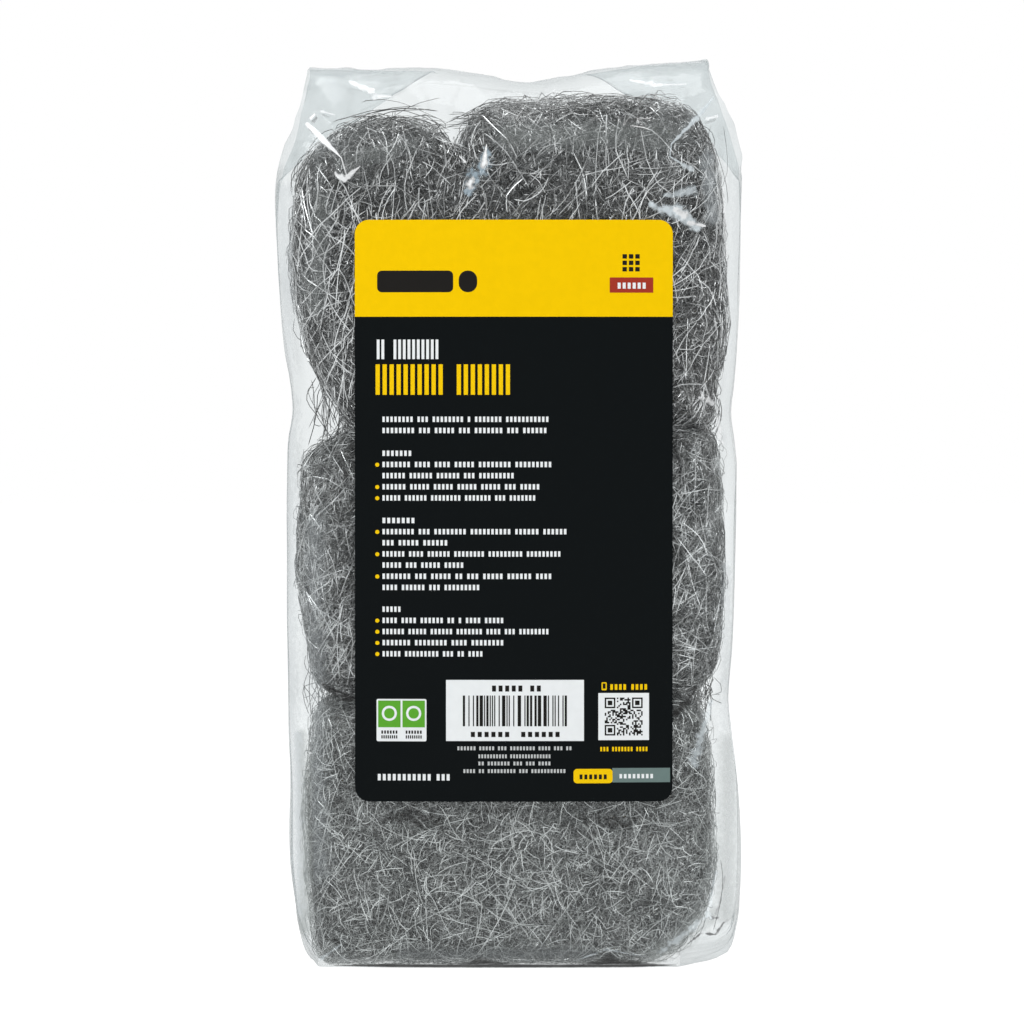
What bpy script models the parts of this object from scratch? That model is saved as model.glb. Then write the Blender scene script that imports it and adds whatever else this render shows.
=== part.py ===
"""Pack of steel wool pads: a clear film bag that stands on its base, with nine pads and a label.

Metres, +Z up. The origin is on the ground, in the middle of the bag's base. The front, which
carries the label, faces -Y. The pads are stacked in three rows, coarse at the top, medium in the
middle and fine at the bottom, and each row is three pads deep. Every pad is a soft pillow of
matted steel fibre. The bag is one film: it closes in to a flat base, and at the top it folds over
like a roof to one straight seal. A small vent in its back wall lets the air out.
"""

import math

import bmesh
import bpy
from mathutils import Matrix, Vector

MM = 0.001

# Film bag
BAG_HEIGHT = 227.5 * MM
BAG_HALF_WIDTH = 58.0 * MM
BAG_HALF_DEPTH = 36.0 * MM
FILM = 0.3 * MM
FRONT_SAG = 1.5 * MM
FRONT_SAG_AT = 40.0 * MM
BAG_CORNER = 11.0 * MM
CORNER_STEPS = 5
WIDE_STEPS = 8
DEEP_STEPS = 4
SEAL_HALF_WIDTH = 49.5 * MM
SEAL_HALF_DEPTH = 1.5 * MM
SEAL_CORNER = 1.2 * MM
BASE_HALF_WIDTH = 45.0 * MM
BASE_HALF_DEPTH = 28.0 * MM
VENT_RADIUS = 3.0 * MM
VENT_HEIGHT = 196.0 * MM
VENT_SIDES = 20
VENT_ROD = 4.0 * MM

# Label
LABEL_WIDTH = 79.5 * MM
LABEL_HEIGHT = 145.5 * MM
LABEL_CORNER = 3.5 * MM
LABEL_CORNER_STEPS = 6
LABEL_THICK = 0.25 * MM
LABEL_LOW = 42.0 * MM
LABEL_X = 1.2 * MM
LABEL_STRIP = 10.0 * MM

# Pads
GAP = 0.3 * MM
PAD_THICK = 21.8 * MM
PAD_PITCH = 22.2 * MM
PAD_RIM = 10.0 * MM
PAD_RIM_STEPS = 4
PAD_CORNER = 20.0 * MM
PAD_CORNER_STEPS = 5
ROWS = {
    "fine": {"low": 3.0 * MM, "high": 67.2 * MM, "half_width": 53.0 * MM},
    "medium": {"low": 67.7 * MM, "high": 135.4 * MM, "half_width": 53.4 * MM},
    "coarse": {"low": 135.9 * MM, "high": 217.0 * MM, "half_width": 54.6 * MM},
}
DEPTHS = {"front": -1, "middle": 0, "back": 1}

COLLECTION = "steel_wool_pack"
CUTTERS = "cutters"


def clear_scene():
    """Remove every object that the opened scene holds."""
    for old in list(bpy.data.objects):
        bpy.data.objects.remove(old)


def new_collection(name):
    """Make a collection in the scene."""
    made = bpy.data.collections.new(name)
    bpy.context.scene.collection.children.link(made)
    return made


def new_material(name, colour, roughness, metallic=0.0, alpha=1.0):
    """Make a Principled material."""
    made = bpy.data.materials.new(name)
    made.use_nodes = True
    shader = made.node_tree.nodes["Principled BSDF"]
    shader.inputs["Base Color"].default_value = (*colour, 1.0)
    shader.inputs["Roughness"].default_value = roughness
    shader.inputs["Metallic"].default_value = metallic
    shader.inputs["Alpha"].default_value = alpha
    made.diffuse_color = (*colour, alpha)
    return made


def new_object(name, bm, collection, material=None):
    """Turn a bmesh into an object in a collection."""
    mesh = bpy.data.meshes.new(name)
    bmesh.ops.recalc_face_normals(bm, faces=bm.faces)
    bm.to_mesh(mesh)
    bm.free()
    made = bpy.data.objects.new(name, mesh)
    collection.objects.link(made)
    if material is not None:
        mesh.materials.append(material)
    return made


def bag_stations():
    """List the bag's sections from the base up: height, half width, half depth, corner radius.

    The film stands a little off each row of pads and draws in where two rows meet, at the base
    and over the top, where it turns in to the seal.
    """
    body = BAG_HALF_WIDTH
    deep = BAG_HALF_DEPTH
    full = BAG_CORNER
    fine_top = ROWS["fine"]["high"]
    medium_top = ROWS["medium"]["high"]
    return [
        (0.0, BASE_HALF_WIDTH, BASE_HALF_DEPTH, 0.6 * full),
        (1.2 * MM, BASE_HALF_WIDTH + 3.5 * MM, BASE_HALF_DEPTH + 3.0 * MM, 0.8 * full),
        (4.5 * MM, body - 4.6 * MM, deep - 2.2 * MM, full),
        (12.0 * MM, body - 2.4 * MM, deep, full),
        (25.0 * MM, body - 1.8 * MM, deep, full),
        (45.0 * MM, body - 1.9 * MM, deep, full),
        (fine_top, body - 2.8 * MM, deep, full),
        (90.0 * MM, body - 2.2 * MM, deep, full),
        (120.0 * MM, body - 2.2 * MM, deep, full),
        (medium_top, body - 3.8 * MM, deep, full),
        (150.0 * MM, body - 2.3 * MM, deep, full),
        (168.0 * MM, body - 0.6 * MM, deep, full),
        (185.0 * MM, body, deep, full),
        (199.0 * MM, body - 0.8 * MM, deep, full),
        (208.0 * MM, body - 2.4 * MM, deep - 0.4 * MM, full),
        (214.0 * MM, body - 4.4 * MM, deep - 2.4 * MM, 0.9 * full),
        (219.0 * MM, body - 6.2 * MM, deep - 6.6 * MM, 0.75 * full),
        (223.0 * MM, body - 7.4 * MM, deep - 13.5 * MM, 0.6 * full),
        (226.0 * MM, body - 8.2 * MM, deep - 24.5 * MM, 0.4 * full),
        (BAG_HEIGHT, SEAL_HALF_WIDTH, SEAL_HALF_DEPTH, SEAL_CORNER),
    ]


def side_points(start, end, steps):
    """Divide a straight side, without its last point."""
    return [start.lerp(end, step / steps) for step in range(steps)]


def corner_points(centre, radius, first_angle):
    """Turn a quarter circle round a corner, without its last point."""
    points = []
    for step in range(CORNER_STEPS):
        angle = first_angle + math.pi / 2 * step / CORNER_STEPS
        points.append(centre + radius * Vector((math.cos(angle), math.sin(angle))))
    return points


def section_points(half_width, half_depth, radius):
    """Give one section of the bag as a rounded rectangle whose wide faces bulge a little."""
    inner_x = half_width - radius
    inner_y = half_depth - radius
    quarters = [(1, 1, 0.0), (-1, 1, math.pi / 2), (-1, -1, math.pi), (1, -1, 1.5 * math.pi)]
    points = []
    for index, (sign_x, sign_y, angle) in enumerate(quarters):
        centre = Vector((sign_x * inner_x, sign_y * inner_y))
        points += corner_points(centre, radius, angle)
        turned = Vector((math.cos(angle + math.pi / 2), math.sin(angle + math.pi / 2)))
        next_x, next_y, _ = quarters[(index + 1) % 4]
        start = centre + radius * turned
        end = Vector((next_x * inner_x, next_y * inner_y)) + radius * turned
        points += side_points(start, end, WIDE_STEPS if index % 2 == 0 else DEEP_STEPS)
    sag = FRONT_SAG / BAG_HALF_DEPTH
    return [Vector((p.x, p.y * (1 - sag * (p.x / FRONT_SAG_AT) ** 2))) for p in points]


def make_bag(collection, cutters, material):
    """Loft the bag through its sections, give the film its thickness and cut the vent."""
    bm = bmesh.new()
    rings = []
    for height, half_width, half_depth, radius in bag_stations():
        outline = section_points(half_width, half_depth, radius)
        rings.append([bm.verts.new((p.x, p.y, height)) for p in outline])
    count = len(rings[0])
    for lower, upper in zip(rings, rings[1:]):
        for index in range(count):
            after = (index + 1) % count
            bm.faces.new((lower[index], lower[after], upper[after], upper[index]))
    bm.faces.new(reversed(rings[0]))
    bm.faces.new(rings[-1])
    bag = new_object("film_bag", bm, collection, material)
    bag.data.shade_smooth()

    wall = bag.modifiers.new("film", "SOLIDIFY")
    wall.thickness = FILM
    wall.offset = -1.0

    cut = bag.modifiers.new("vent", "BOOLEAN")
    cut.operation = "DIFFERENCE"
    cut.solver = "EXACT"
    cut.object = make_vent_cutter(cutters)
    return bag


def make_vent_cutter(cutters):
    """Stand a short rod through the back wall, where the vent is punched."""
    bm = bmesh.new()
    along_y = Matrix.Rotation(math.pi / 2, 4, "X")
    bmesh.ops.create_cone(
        bm,
        cap_ends=True,
        segments=VENT_SIDES,
        radius1=VENT_RADIUS,
        radius2=VENT_RADIUS,
        depth=VENT_ROD,
        matrix=along_y,
    )
    cutter = new_object("vent_cutter", bm, cutters)
    cutter.location = (0.0, BAG_HALF_DEPTH, VENT_HEIGHT)
    cutter.hide_render = True
    cutter.display_type = "WIRE"
    return cutter


def front_of_bag(x):
    """Give the y of the film's front at a distance from the middle, behind the label."""
    return -BAG_HALF_DEPTH + FRONT_SAG * (x / FRONT_SAG_AT) ** 2


def make_label(collection, material):
    """Cut the label as a rounded rectangle and bend it round the bag's front."""
    bm = bmesh.new()
    size = Matrix.Diagonal((LABEL_WIDTH, LABEL_THICK, LABEL_HEIGHT, 1.0))
    bmesh.ops.create_cube(bm, size=1.0, matrix=size)
    short = [e for e in bm.edges if e.calc_length() < 2 * LABEL_THICK]
    bmesh.ops.bevel(
        bm,
        geom=short,
        offset=LABEL_CORNER,
        segments=LABEL_CORNER_STEPS,
        profile=0.5,
        affect="EDGES",
    )
    bmesh.ops.translate(bm, vec=(LABEL_X, 0.0, 0.0), verts=bm.verts)
    strips = int(LABEL_WIDTH / LABEL_STRIP)
    for strip in range(1, strips):
        across = LABEL_X + LABEL_WIDTH * (strip / strips - 0.5)
        everything = bm.verts[:] + bm.edges[:] + bm.faces[:]
        bmesh.ops.bisect_plane(bm, geom=everything, plane_co=(across, 0, 0), plane_no=(1, 0, 0))
    off_film = GAP + LABEL_THICK / 2
    for vert in bm.verts:
        vert.co.y += front_of_bag(vert.co.x) - off_film
    label = new_object("label", bm, collection, material)
    label.location.z = LABEL_LOW + LABEL_HEIGHT / 2
    return label


def make_pad(name, row, depth, collection, material):
    """Make one soft pad: a block with round corners and a thick round rim."""
    width = 2 * row["half_width"]
    height = row["high"] - row["low"]
    bm = bmesh.new()
    bmesh.ops.create_cube(bm, size=1.0, matrix=Matrix.Diagonal((width, PAD_THICK, height, 1.0)))
    upright = [e for e in bm.edges if abs(e.verts[0].co.y - e.verts[1].co.y) > PAD_THICK / 2]
    bmesh.ops.bevel(
        bm,
        geom=upright,
        offset=PAD_CORNER,
        segments=PAD_CORNER_STEPS,
        profile=0.5,
        affect="EDGES",
    )
    rim = [e for e in bm.edges if abs(e.verts[0].co.y - e.verts[1].co.y) < PAD_THICK / 2]
    bmesh.ops.bevel(
        bm, geom=rim, offset=PAD_RIM, segments=PAD_RIM_STEPS, profile=0.5, affect="EDGES"
    )
    pad = new_object(name, bm, collection, material)
    pad.location = (0.0, depth * PAD_PITCH, (row["low"] + row["high"]) / 2)
    pad.data.shade_smooth()
    return pad


def main():
    """Build the whole pack under one empty on the ground."""
    clear_scene()
    parts = new_collection(COLLECTION)
    cutters = new_collection(CUTTERS)

    base = bpy.data.objects.new("pack_base", None)
    parts.objects.link(base)

    film = new_material("clear_film", (0.80, 0.84, 0.86), 0.18, alpha=0.3)
    card = new_material("printed_label", (0.012, 0.013, 0.016), 0.45)
    wools = {
        "fine": new_material("fine_wool", (0.30, 0.30, 0.30), 0.42, metallic=0.9),
        "medium": new_material("medium_wool", (0.27, 0.27, 0.27), 0.38, metallic=0.9),
        "coarse": new_material("coarse_wool", (0.24, 0.24, 0.235), 0.34, metallic=0.9),
    }

    made = [make_bag(parts, cutters, film), make_label(parts, card)]
    for grade, row in ROWS.items():
        for place, depth in DEPTHS.items():
            name = f"{grade}_pad_{place}"
            made.append(make_pad(name, row, depth, parts, wools[grade]))
    for part in made:
        part.parent = base


main()
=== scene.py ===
"""Looks of a pack of steel wool pads.

A clear film bag stands on its base and holds nine pads of matted steel strands, three rows high
and three deep. The film is gusseted: its sides fold in under the straight seal at the top. A
printed label is stuck on its front, which faces -Y. Everything is in metres, with +Z up.
"""

from __future__ import annotations

import logging
import math
from dataclasses import dataclass, field, replace
from enum import Enum
from typing import Iterable, Sequence, Union

import bmesh
import bpy
import numpy as np
from mathutils import Matrix, Vector, noise
from mathutils.bvhtree import BVHTree


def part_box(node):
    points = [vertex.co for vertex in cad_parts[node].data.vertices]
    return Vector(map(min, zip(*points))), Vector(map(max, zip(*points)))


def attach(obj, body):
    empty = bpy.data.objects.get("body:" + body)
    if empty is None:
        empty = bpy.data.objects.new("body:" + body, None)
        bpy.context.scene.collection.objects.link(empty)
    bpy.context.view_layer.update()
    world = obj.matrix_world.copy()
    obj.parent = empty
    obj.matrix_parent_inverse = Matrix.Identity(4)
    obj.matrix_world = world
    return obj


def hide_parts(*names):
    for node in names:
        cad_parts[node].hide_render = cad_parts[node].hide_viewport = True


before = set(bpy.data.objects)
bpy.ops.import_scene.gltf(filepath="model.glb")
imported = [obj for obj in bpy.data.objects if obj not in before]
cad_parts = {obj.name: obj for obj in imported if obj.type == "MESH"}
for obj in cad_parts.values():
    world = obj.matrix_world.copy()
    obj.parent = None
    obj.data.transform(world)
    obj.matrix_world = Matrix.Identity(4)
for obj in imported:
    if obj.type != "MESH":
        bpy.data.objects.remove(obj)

log = logging.getLogger("steel_wool_pack")

MM = 0.001
PER_MM = 1000.0
ROOT = "root"

Colour = tuple[float, float, float]
Span = tuple[float, float]


class Grade(Enum):
    """How coarse a pad's strands are. Each row of the pack holds one grade."""

    COARSE = "coarse"
    MEDIUM = "medium"
    FINE = "fine"


class Layer(Enum):
    """Where a pad lies in its row, from the label to the back."""

    FRONT = "front"
    MIDDLE = "middle"
    BACK = "back"


class Wire:
    """A shader socket whose arithmetic adds Math nodes."""

    def __init__(self, tree: ShaderTree, socket: bpy.types.NodeSocket) -> None:
        """Wrap an output socket.

        Args:
            tree: the tree that the socket belongs to.
            socket: the output to wrap.
        """
        self.tree = tree
        self.socket = socket

    def _math(self, operation: str, first: Value, second: Value) -> Wire:
        """Add a Math node of two inputs and return its result."""
        return self.tree.node("ShaderNodeMath", {"operation": operation}, {0: first, 1: second})

    def __add__(self, other: Value) -> Wire:
        """Add a value."""
        return self._math("ADD", self, other)

    def __radd__(self, other: Value) -> Wire:
        """Add to a number."""
        return self._math("ADD", other, self)

    def __sub__(self, other: Value) -> Wire:
        """Take a value away."""
        return self._math("SUBTRACT", self, other)

    def __rsub__(self, other: Value) -> Wire:
        """Take away from a number."""
        return self._math("SUBTRACT", other, self)

    def __mul__(self, other: Value) -> Wire:
        """Multiply by a value."""
        return self._math("MULTIPLY", self, other)

    def __rmul__(self, other: Value) -> Wire:
        """Multiply a number."""
        return self._math("MULTIPLY", other, self)

    def __truediv__(self, other: Value) -> Wire:
        """Divide by a value."""
        return self._math("DIVIDE", self, other)

    def __pow__(self, other: Value) -> Wire:
        """Raise to a power."""
        return self._math("POWER", self, other)

    def __abs__(self) -> Wire:
        """Drop the sign."""
        return self._math("ABSOLUTE", self, 0.0)

    def larger(self, other: Value) -> Wire:
        """Return the larger of the two."""
        return self._math("MAXIMUM", self, other)

    def folded(self, period: float) -> Wire:
        """Run up and down between nothing and a period, like a triangle wave."""
        return self._math("PINGPONG", self, period)

    def fitted(self, factor: Value, shift: Value) -> Wire:
        """Return it times a factor, with a shift added."""
        settings = {"operation": "MULTIPLY_ADD"}
        return self.tree.node("ShaderNodeMath", settings, {0: self, 1: factor, 2: shift})

    def eased(self, low: float, high: float, start: float = 0.0, end: float = 1.0) -> Wire:
        """Pass smoothly from one level to another.

        Args:
            low: the value at which the result is start.
            high: the value at which the result is end.
            start: the result up to low.
            end: the result from high on.

        Returns:
            The smooth step.
        """
        return self.tree.node(
            "ShaderNodeMapRange",
            {"interpolation_type": "SMOOTHSTEP"},
            {"Value": self, "From Min": low, "From Max": high, "To Min": start, "To Max": end},
        )


Value = Union[Wire, float, int, Sequence[float]]


class ShaderTree:
    """A material's or the world's nodes, empty at first apart from the output."""

    def __init__(self, tree: bpy.types.NodeTree, output: str) -> None:
        """Clear a node tree and give it an output.

        Args:
            tree: the node tree.
            output: the type of its output node.
        """
        self.tree = tree
        tree.nodes.clear()
        self.output = tree.nodes.new(output)

    def node(
        self,
        kind: str,
        settings: dict[str, object] | None = None,
        inputs: dict[str | int, Value] | None = None,
        output: str | int = 0,
    ) -> Wire:
        """Add a node.

        Args:
            kind: the node's type.
            settings: the node's own settings.
            inputs: values or links of its sockets, by name or number.
            output: the socket that is returned.

        Returns:
            The wrapped output socket.
        """
        made = self.tree.nodes.new(kind)
        for name, value in (settings or {}).items():
            setattr(made, name, value)
        for name, value in (inputs or {}).items():
            socket = made.inputs[name]
            if isinstance(value, Wire):
                self.tree.links.new(value.socket, socket)
            elif isinstance(value, (float, int)) or len(value) != 3 or socket.type == "VECTOR":
                socket.default_value = value
            else:
                socket.default_value = (*value, 1.0)
        return Wire(self, made.outputs[output])

    def finish(self, surface: Wire) -> None:
        """Link a shader to the output."""
        self.tree.links.new(surface.socket, self.output.inputs["Surface"])

    def object_place(self) -> Wire:
        """Return the place on the piece, in metres."""
        return self.node("ShaderNodeTexCoord", output="Object")

    def attribute(self, name: str) -> Wire:
        """Return a number that the mesh holds at each of its points."""
        return self.node("ShaderNodeAttribute", {"attribute_name": name}, output="Fac")

    def noise(self, place: Wire, per_metre: float, detail: float = 2.0, warp: float = 0.0) -> Wire:
        """Return soft noise from 0 to 1.

        Args:
            place: where it is read.
            per_metre: how many lumps there are in a metre.
            detail: how many finer noises are added.
            warp: how far the pattern is bent.

        Returns:
            The noise.
        """
        return self.node(
            "ShaderNodeTexNoise",
            {"noise_dimensions": "3D"},
            {"Vector": place, "Scale": per_metre, "Detail": detail, "Distortion": warp},
            "Fac",
        )

    def vector(self, operation: str, first: Value, second: Value, output: str = "Vector") -> Wire:
        """Join two vectors in a Vector Math node."""
        return self.node(
            "ShaderNodeVectorMath", {"operation": operation}, {0: first, 1: second}, output
        )

    def moved(self, place: Wire, shift: Sequence[float]) -> Wire:
        """Return a place moved by a fixed step."""
        return self.vector("ADD", place, tuple(shift))

    def blended(self, factor: Value, first: Value, second: Value) -> Wire:
        """Mix two colours.

        Args:
            factor: how much of the second shows.
            first: the first colour.
            second: the second colour.

        Returns:
            The mixed colour.
        """
        settings = {"data_type": "RGBA"}
        return self.node("ShaderNodeMix", settings, {0: factor, 6: first, 7: second}, 2)

    def bump(self, height: Wire, depth: float, strength: float = 1.0) -> Wire:
        """Return a normal that a height has bent.

        Args:
            height: the height, from 0 to 1.
            depth: how deep the full height is, in metres.
            strength: how much of it shows.

        Returns:
            The normal.
        """
        return self.node(
            "ShaderNodeBump",
            inputs={"Height": height, "Distance": depth, "Strength": strength},
            output="Normal",
        )

    def principled(self, **inputs: Value) -> Wire:
        """Add a Principled shader, with its sockets named in words joined by underscores."""
        named = {name.replace("_", " "): value for name, value in inputs.items()}
        return self.node("ShaderNodeBsdfPrincipled", inputs=named)


def new_material(name: str) -> tuple[bpy.types.Material, ShaderTree]:
    """Make an empty material.

    Args:
        name: the material's name.

    Returns:
        The material and its nodes.
    """
    made = bpy.data.materials.new(name)
    made.use_nodes = True
    return made, ShaderTree(made.node_tree, "ShaderNodeOutputMaterial")


@dataclass(frozen=True)
class WoolFinish:
    """The matted ground of a pad, which shows between its strands. Its near-black gap colour is painted
    shade in the hollows between the fibres.
    """

    name: str
    gap: Colour
    fibre: Colour
    gleam: Colour
    fibres_per_metre: float
    patches_per_metre: float = 60.0
    specks_per_metre: float = 2400.0
    roughness: float = 0.4
    metal: float = 0.75
    relief: float = 0.3
    line: Span = (0.02, 0.16)

    def tangle(self, tree: ShaderTree, place: Wire, per_metre: float, turns: float) -> Wire:
        """Draw thin curling lines where a noise passes through even levels.

        Args:
            tree: the material's nodes.
            place: where the noise is read.
            per_metre: how many lumps of noise there are in a metre.
            turns: how many levels make a line.

        Returns:
            One on a line and nothing between lines.
        """
        level = tree.noise(place, per_metre, 1.0, 0.8) * turns
        return level.folded(0.5).eased(*self.line, 1.0, 0.0)

    def make(self) -> bpy.types.Material:
        """Build the material."""
        made, tree = new_material(self.name)
        place = tree.object_place()
        fine = self.tangle(tree, place, self.fibres_per_metre, 5.0)
        finer = self.tangle(tree, tree.moved(place, (0.7, 0.3, 0.1)), 1.9 * self.fibres_per_metre, 4.0)
        top = self.tangle(tree, tree.moved(place, (0.2, 0.9, 0.5)), 0.6 * self.fibres_per_metre, 6.0)
        patch = tree.noise(place, self.patches_per_metre, 3.0).eased(0.3, 0.7)
        speck = tree.noise(place, self.specks_per_metre, 1.0).eased(0.5, 0.72)
        lines = fine.larger(finer * 0.8) * (0.4 + 0.6 * patch)
        # Painted shade: the near-black gap colour between the fibre lines stands for the shade inside the
        # mat.
        colour = tree.blended(lines, self.gap, self.fibre)
        colour = tree.blended((top * 0.7).larger(speck) * (0.25 + 0.75 * patch), colour, self.gleam)
        surface = tree.principled(
            Base_Color=colour,
            Metallic=self.metal,
            Roughness=self.roughness,
            Normal=tree.bump(fine * 0.5 + top * 0.5, self.relief * MM),
        )
        tree.finish(surface)
        return made


@dataclass(frozen=True)
class StrandFinish:
    """The loose steel strands, each with a tone of its own, with painted highlights: a noise brightens
    stretches of each strand, and the brightest tones turn white and less metallic.
    """

    name: str
    dark: Colour
    bright: Colour
    steady: float = 0.5
    roughness: float = 0.28
    gleams_per_metre: float = 260.0
    wear_per_metre: float = 900.0
    gleam: Span = (0.42, 0.6)
    metal: float = 0.95
    glare: float = 0.6

    def make(self) -> bpy.types.Material:
        """Build the material."""
        made, tree = new_material(self.name)
        place = tree.object_place()
        # Painted highlight: the gleam noise brightens stretches along each strand.
        gleam = tree.noise(place, self.gleams_per_metre, 1.0).eased(*self.gleam)
        tone = tree.attribute(StrandMaker.TONE) * (gleam * (1.0 - self.steady) + self.steady)
        along = tree.noise(place, self.wear_per_metre, 1.0)
        surface = tree.principled(
            Base_Color=tree.blended(tone, self.dark, self.bright),
            Metallic=self.metal - tone * tone * self.glare,
            Roughness=along * 0.2 + (self.roughness - 0.1),
        )
        tree.finish(surface)
        return made


# Painted highlights: white, pale and bluish glints drawn on the film's folds.
WHITE_GLEAM = (0.95, 0.97, 0.98)
PALE_GLEAM = (0.72, 0.80, 0.84)
BLUE_GLEAM = (0.52, 0.66, 0.76)
# Painted sheen: greys that stand for film reflecting the room where it turns away or crumples.
GREY_PAINTED_SHEEN = (0.16, 0.175, 0.18)
PALE_PAINTED_SHEEN = (0.42, 0.46, 0.48)
DIM_PAINTED_SHEEN = (0.31, 0.34, 0.335)
# Painted shade: contact shadow at the foot, shade round the label and between the rows, and dark fold
# lines.
PAINTED_SHADE = (0.004, 0.004, 0.004)


@dataclass(frozen=True)
class FilmMark:
    """A painted highlight, sheen or shade on the film's front or back, mostly along a fold. Measures are
    in millimetres.
    """

    start: Span
    end: Span
    widths: Span
    strength: float = 1.0
    ragged: float = 0.25
    core: float = 0.5
    colour: Colour = WHITE_GLEAM
    behind: bool = False

    def mask(self, place: Wire, wobble: Wire) -> Wire:
        """Draw the mark as a line that widens or narrows from end to end.

        Args:
            place: the place across and up, in millimetres.
            wobble: a noise about nothing, which frays its edge.

        Returns:
            The strength on the mark, and nothing off it.
        """
        tree = place.tree
        run, rise = self.end[0] - self.start[0], self.end[1] - self.start[1]
        square = run * run + rise * rise
        from_start = tree.vector("SUBTRACT", place, (self.start[0], 0.0, self.start[1]))
        direction = (run / square, 0.0, rise / square)
        along = tree.vector("DOT_PRODUCT", from_start, direction, "Value")
        along = tree.node("ShaderNodeClamp", inputs={"Value": along})
        reach = {0: (run, 0.0, rise), "Scale": along}
        nearest = tree.node("ShaderNodeVectorMath", {"operation": "SCALE"}, reach, "Vector")
        away = tree.vector("DISTANCE", from_start, nearest, "Value")
        width = along.fitted(self.widths[1] - self.widths[0], self.widths[0])
        edge = wobble.fitted(self.ragged, away / width)
        return edge.eased(self.core, 1.0, self.strength, 0.0)


# The front's painted marks: painted sheen, painted highlights, painted shadow along the foot, painted
# shade under the label and between the rows, and dark painted fold lines.
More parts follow.
